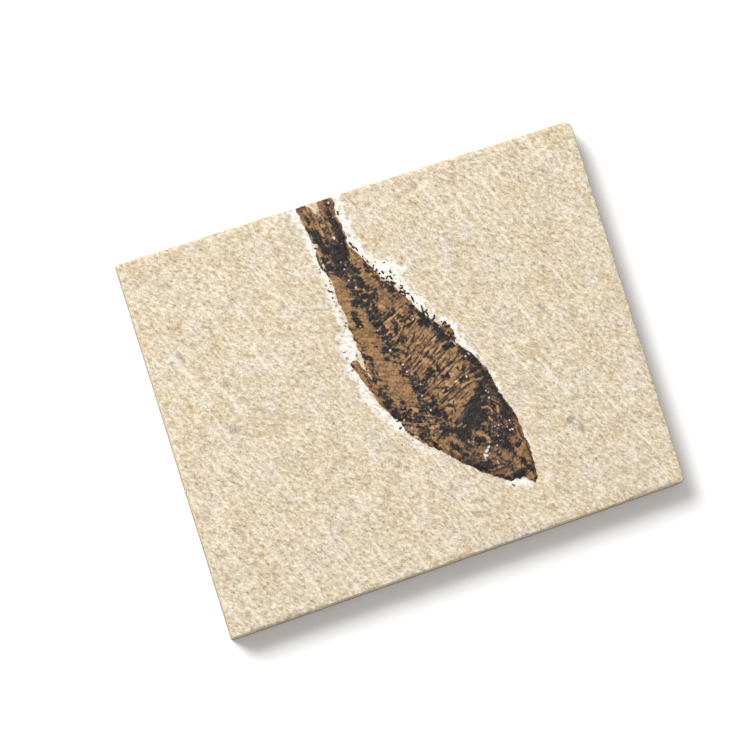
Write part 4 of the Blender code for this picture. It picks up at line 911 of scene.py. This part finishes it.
def split_limestone():
    """Lake limestone split along its bedding, never polished: dry, matt and grainy, in creams and greys."""
    material = new_material("split_limestone")
    place = add_node(material, "ShaderNodeTexCoord").outputs["Object"]
    # Patches of the bedding from ochre over cream to chalky grey, about 6 mm wide
    drift = add_node(material, "ShaderNodeTexNoise",
                     {"Vector": place, "Scale": 1.0 / (9.0 * MM), "Detail": 4.0, "Roughness": 0.62})
    bedding = add_node(material, "ShaderNodeValToRGB", {"Fac": drift.outputs["Fac"]},
                       stops=((0.3, "#d2c2a8"), (0.45, "#d6cab5"), (0.58, "#d7cdbc"), (0.72, "#d4cec4")))
    # Grains about 0.8 mm long, drawn out along the grain of the split
    turned = add_node(material, "ShaderNodeMapping",
                      {"Vector": place, "Rotation": (0.0, 0.0, np.radians(GRAIN_ANGLE)),
                       "Scale": (1.7, 1.0, 1.0)},
                      vector_type="TEXTURE")
    grain = add_node(material, "ShaderNodeTexNoise",
                     {"Vector": turned.outputs["Vector"], "Scale": 1.0 / (0.7 * MM), "Detail": 3.0,
                      "Roughness": 0.6, "Distortion": 0.3})
    grains = add_node(material, "ShaderNodeValToRGB", {"Fac": grain.outputs["Fac"]},
                      stops=((0.26, "#ab9f8d"), (0.38, "#d9d0c1"), (0.5, "#efe9df"), (0.64, "#ffffff")))
    cream = add_node(material, "ShaderNodeMix",
                     {0: 1.0, 6: bedding.outputs["Color"], 7: grains.outputs["Color"]},
                     data_type="RGBA", blend_type="MULTIPLY")
    # Painted highlight: where the grain noise runs high the colour is mixed to near-white, as if proud
    # grains caught the light
    grain_highlight = add_node(material, "ShaderNodeMapRange",
                      {"Value": grain.outputs["Fac"], 1: 0.57, 2: 0.72, 3: 0.0, 4: 0.55})
    highlighted = add_node(material, "ShaderNodeMix",
                       {0: grain_highlight.outputs[0], 6: cream.outputs[2], 7: linear("#ebe5d9")}, data_type="RGBA")
    # Faint pale scratches, about 0.5 mm wide and a centimetre long
    along = add_node(material, "ShaderNodeMapping",
                     {"Vector": place, "Rotation": (0.0, 0.0, np.radians(SCRATCH_ANGLE)),
                      "Scale": (14.0, 1.0, 1.0)},
                     vector_type="TEXTURE")
    scratch = add_node(material, "ShaderNodeTexNoise",
                       {"Vector": along.outputs["Vector"], "Scale": 1.0 / (1.1 * MM), "Detail": 1.0})
    scratches = add_node(material, "ShaderNodeMapRange",
                         {"Value": scratch.outputs["Fac"], 1: 0.62, 2: 0.7, 3: 0.0, 4: 0.45})
    scratched = add_node(material, "ShaderNodeMix",
                         {0: scratches.outputs[0], 6: highlighted.outputs[2], 7: linear("#e4ddd0")},
                         data_type="RGBA")
    # Painted shade: sparse dark spots, about half a millimetre wide, for the shade in pits that the mesh
    # does not have
    pit = add_node(material, "ShaderNodeTexNoise",
                   {"Vector": place, "Scale": 1.0 / (0.9 * MM), "Detail": 2.0, "Roughness": 0.7})
    pit_shade = add_node(material, "ShaderNodeMapRange",
                    {"Value": pit.outputs["Fac"], 1: 0.68, 2: 0.76, 3: 0.0, 4: 0.55})
    pit_shaded = add_node(material, "ShaderNodeMix",
                      {0: pit_shade.outputs[0], 6: scratched.outputs[2], 7: linear("#8b7c68")}, data_type="RGBA")
    # Where the stone was scraped back to the fish it is chalky, with white crumbs
    scraped = add_node(material, "ShaderNodeAttribute", attribute_name="scraped")
    chalk = add_node(material, "ShaderNodeValToRGB", {"Fac": grain.outputs["Fac"]},
                     stops=((0.3, "#bab0a2"), (0.44, "#dcd5ca"), (0.56, "#e9e4dc"), (0.7, "#faf8f4")))
    bare = add_node(material, "ShaderNodeMix",
                    {0: scraped.outputs["Fac"], 6: pit_shaded.outputs[2], 7: chalk.outputs["Color"]},
                    data_type="RGBA")
    stained = add_node(material, "ShaderNodeAttribute", attribute_name="stained")
    stain = add_node(material, "ShaderNodeMath", {0: stained.outputs["Fac"], 1: 0.6}, operation="MULTIPLY")
    colour = add_node(material, "ShaderNodeMix",
                      {0: stain.outputs[0], 6: bare.outputs[2], 7: linear("#8f8880")},
                      data_type="RGBA")
    fine = add_node(material, "ShaderNodeTexNoise",
                    {"Vector": place, "Scale": 1.0 / (0.25 * MM), "Detail": 2.0, "Roughness": 0.6})
    grain_bump = add_node(material, "ShaderNodeBump",
                          {"Height": grain.outputs["Fac"], "Strength": 1.0, "Distance": 0.42 * MM})
    fine_bump = add_node(material, "ShaderNodeBump",
                         {"Height": fine.outputs["Fac"], "Strength": 1.0, "Distance": 0.08 * MM,
                          "Normal": grain_bump.outputs["Normal"]})
    shader = add_node(material, "ShaderNodeBsdfPrincipled",
                      {"Base Color": colour.outputs[2], "Roughness": 0.92, "IOR": 1.5,
                       "Specular IOR Level": 0.3, "Normal": fine_bump.outputs["Normal"]})
    add_node(material, "ShaderNodeOutputMaterial", {"Surface": shader.outputs["BSDF"]})
    return material


def sawn_limestone_and_shade():
    """The same stone across its bedding, cut with a saw: flat and dull, with faint thin layers, and darker
    brown than the face, partly its own colour and partly painted shade of the sides.
    """
    material = new_material("sawn_limestone_and_shade")
    place = add_node(material, "ShaderNodeTexCoord").outputs["Object"]
    # Layers about 1 mm thick that run for a few millimetres, broken up by grit
    layered = add_node(material, "ShaderNodeMapping", {"Vector": place, "Scale": (0.22, 0.22, 1.0)})
    layers = add_node(material, "ShaderNodeTexNoise",
                      {"Vector": layered.outputs["Vector"], "Scale": 1.0 / (1.1 * MM), "Detail": 5.0,
                       "Roughness": 0.75})
    grit = add_node(material, "ShaderNodeTexNoise",
                    {"Vector": place, "Scale": 1.0 / (0.5 * MM), "Detail": 3.0, "Roughness": 0.65})
    mixed = add_node(material, "ShaderNodeMix", {0: 0.5, 2: layers.outputs["Fac"], 3: grit.outputs["Fac"]})
    # Painted shade: these browns are darker than the stone's own, for sides turned away from the light
    colour = add_node(material, "ShaderNodeValToRGB", {"Fac": mixed.outputs[0]},
                      stops=((0.36, "#7d6a54"), (0.46, "#96826a"), (0.55, "#a5927a"), (0.66, "#b9a890")))
    # Upright marks of the saw, about 0.6 mm apart
    upright = add_node(material, "ShaderNodeMapping", {"Vector": place, "Scale": (1.0, 1.0, 0.05)})
    saw = add_node(material, "ShaderNodeTexNoise",
                   {"Vector": upright.outputs["Vector"], "Scale": 1.0 / (0.6 * MM), "Detail": 2.0})
    saw_bump = add_node(material, "ShaderNodeBump",
                        {"Height": saw.outputs["Fac"], "Strength": 0.6, "Distance": 0.1 * MM})
    grit_bump = add_node(material, "ShaderNodeBump",
                         {"Height": grit.outputs["Fac"], "Strength": 0.8, "Distance": 0.14 * MM,
                          "Normal": saw_bump.outputs["Normal"]})
    shader = add_node(material, "ShaderNodeBsdfPrincipled",
                      {"Base Color": colour.outputs["Color"], "Roughness": 0.88, "IOR": 1.5,
                       "Specular IOR Level": 0.3, "Normal": grit_bump.outputs["Normal"]})
    add_node(material, "ShaderNodeOutputMaterial", {"Surface": shader.outputs["BSDF"]})
    return material


def fossil_bone():
    """Mineralised bone pressed to a film: black and satin where it is thick, thin and tan between."""
    material = new_material("fossil_bone")
    place = add_node(material, "ShaderNodeTexCoord").outputs["Object"]
    dark = add_node(material, "ShaderNodeAttribute", attribute_name="dark")
    # Flecks too fine for the mesh, about 0.2 mm across
    fleck = add_node(material, "ShaderNodeTexNoise",
                     {"Vector": place, "Scale": 1.0 / (0.25 * MM), "Detail": 3.0, "Roughness": 0.65})
    shift = add_node(material, "ShaderNodeMath", {0: fleck.outputs["Fac"], 1: 0.44, 2: -0.22},
                     operation="MULTIPLY_ADD")
    flecked = add_node(material, "ShaderNodeMath", {0: dark.outputs["Fac"], 1: shift.outputs[0]},
                       operation="ADD")
    brown = add_node(material, "ShaderNodeValToRGB", {"Fac": flecked.outputs[0]}, stops=BONE_COLOURS)
    # Rust in the film, and a cool grey in the black as painted sheen, in patches of about 3 mm
    patch = add_node(material, "ShaderNodeTexNoise",
                     {"Vector": place, "Scale": 1.0 / (3.5 * MM), "Detail": 4.0, "Roughness": 0.65})
    rust_and_sheen_ramp = add_node(material, "ShaderNodeValToRGB", {"Fac": flecked.outputs[0]},
                    stops=((0.1, "#ad7c44"), (0.45, "#7b552f"), (0.7, "#433f3b"), (1.0, "#2a2b2d")))
    share = add_node(material, "ShaderNodeMapRange",
                     {"Value": patch.outputs["Fac"], 1: 0.46, 2: 0.68, 3: 0.0, 4: 0.6})
    rust_and_sheen = add_node(material, "ShaderNodeMix",
                      {0: share.outputs[0], 6: brown.outputs["Color"], 7: rust_and_sheen_ramp.outputs["Color"]},
                      data_type="RGBA")
    calcite = add_node(material, "ShaderNodeAttribute", attribute_name="calcite")
    spotted = add_node(material, "ShaderNodeMix",
                       {0: calcite.outputs["Fac"], 6: rust_and_sheen.outputs[2], 7: linear("#d6ccbf")},
                       data_type="RGBA")
    rough = add_node(material, "ShaderNodeMapRange", {"Value": flecked.outputs[0], 3: 0.62, 4: 0.42})
    fleck_bump = add_node(material, "ShaderNodeBump",
                          {"Height": fleck.outputs["Fac"], "Strength": 0.8, "Distance": 0.07 * MM})
    shader = add_node(material, "ShaderNodeBsdfPrincipled",
                      {"Base Color": spotted.outputs[2], "Roughness": rough.outputs[0], "IOR": 1.5,
                       "Specular IOR Level": 0.22, "Normal": fleck_bump.outputs["Normal"]})
    add_node(material, "ShaderNodeOutputMaterial", {"Surface": shader.outputs["BSDF"]})
    return material


def pale_floor():
    material = new_material("pale_floor")
    shader = add_node(material, "ShaderNodeBsdfPrincipled",
                      {"Base Color": linear("#f4f3f1"), "Roughness": 0.8, "Specular IOR Level": 0.1})
    add_node(material, "ShaderNodeOutputMaterial", {"Surface": shader.outputs["BSDF"]})
    return material


def set_stage():
    """A plain pale floor, a broad soft light from the upper left of the picture and a pale surround."""
    bpy.ops.object.select_all(action="DESELECT")
    bpy.ops.mesh.primitive_plane_add(size=4.0)
    floor = bpy.context.object
    floor.name = "floor"
    floor.data.materials.append(pale_floor())
    for name, place, size, power in LIGHTS:
        bpy.ops.object.light_add(type="AREA", location=Vector(place))
        light = bpy.context.object
        light.name = name
        light.data.shape = "SQUARE"
        light.data.size = size
        light.data.energy = power
        light.rotation_euler = Vector(place).to_track_quat("Z", "Y").to_euler()
    world = bpy.data.worlds.new("surround")
    bpy.context.scene.world = world
    world.use_nodes = True
    background = world.node_tree.nodes["Background"]
    background.inputs["Color"].default_value = (1.0, 1.0, 1.0, 1.0)
    background.inputs["Strength"].default_value = SURROUND_STRENGTH
    view = bpy.context.scene.view_settings
    view.view_transform = "Standard"
    view.look = "None"


def set_camera():
    """The photograph's view: from above, a little to the left of and below the middle, turned."""
    place, target = Vector(CAMERA_PLACE) * MM, Vector(CAMERA_TARGET) * MM
    back = (place - target).normalized()
    up = Vector((np.sin(CAMERA_TURN), np.cos(CAMERA_TURN), 0.0))
    right = up.cross(back).normalized()
    up = back.cross(right)
    bpy.ops.object.camera_add(location=place)
    camera = bpy.context.object
    camera.rotation_euler = Matrix((right, up, back)).transposed().to_euler()
    camera.data.sensor_width = SENSOR_WIDTH
    camera.data.lens = FOCAL_LENGTH_PX * SENSOR_WIDTH / IMAGE_WIDTH_PX
    camera.data.clip_start = 0.01
    bpy.context.scene.camera = camera


slab = model_slab()
slab.data.materials.append(split_limestone())
slab.data.materials.append(sawn_limestone_and_shade())
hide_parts("limestone_slab")
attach(slab, "root")

fish = model_fish()
fish.data.materials.append(fossil_bone())
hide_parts("fossil_fish")
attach(fish, "root")

set_stage()
set_camera()
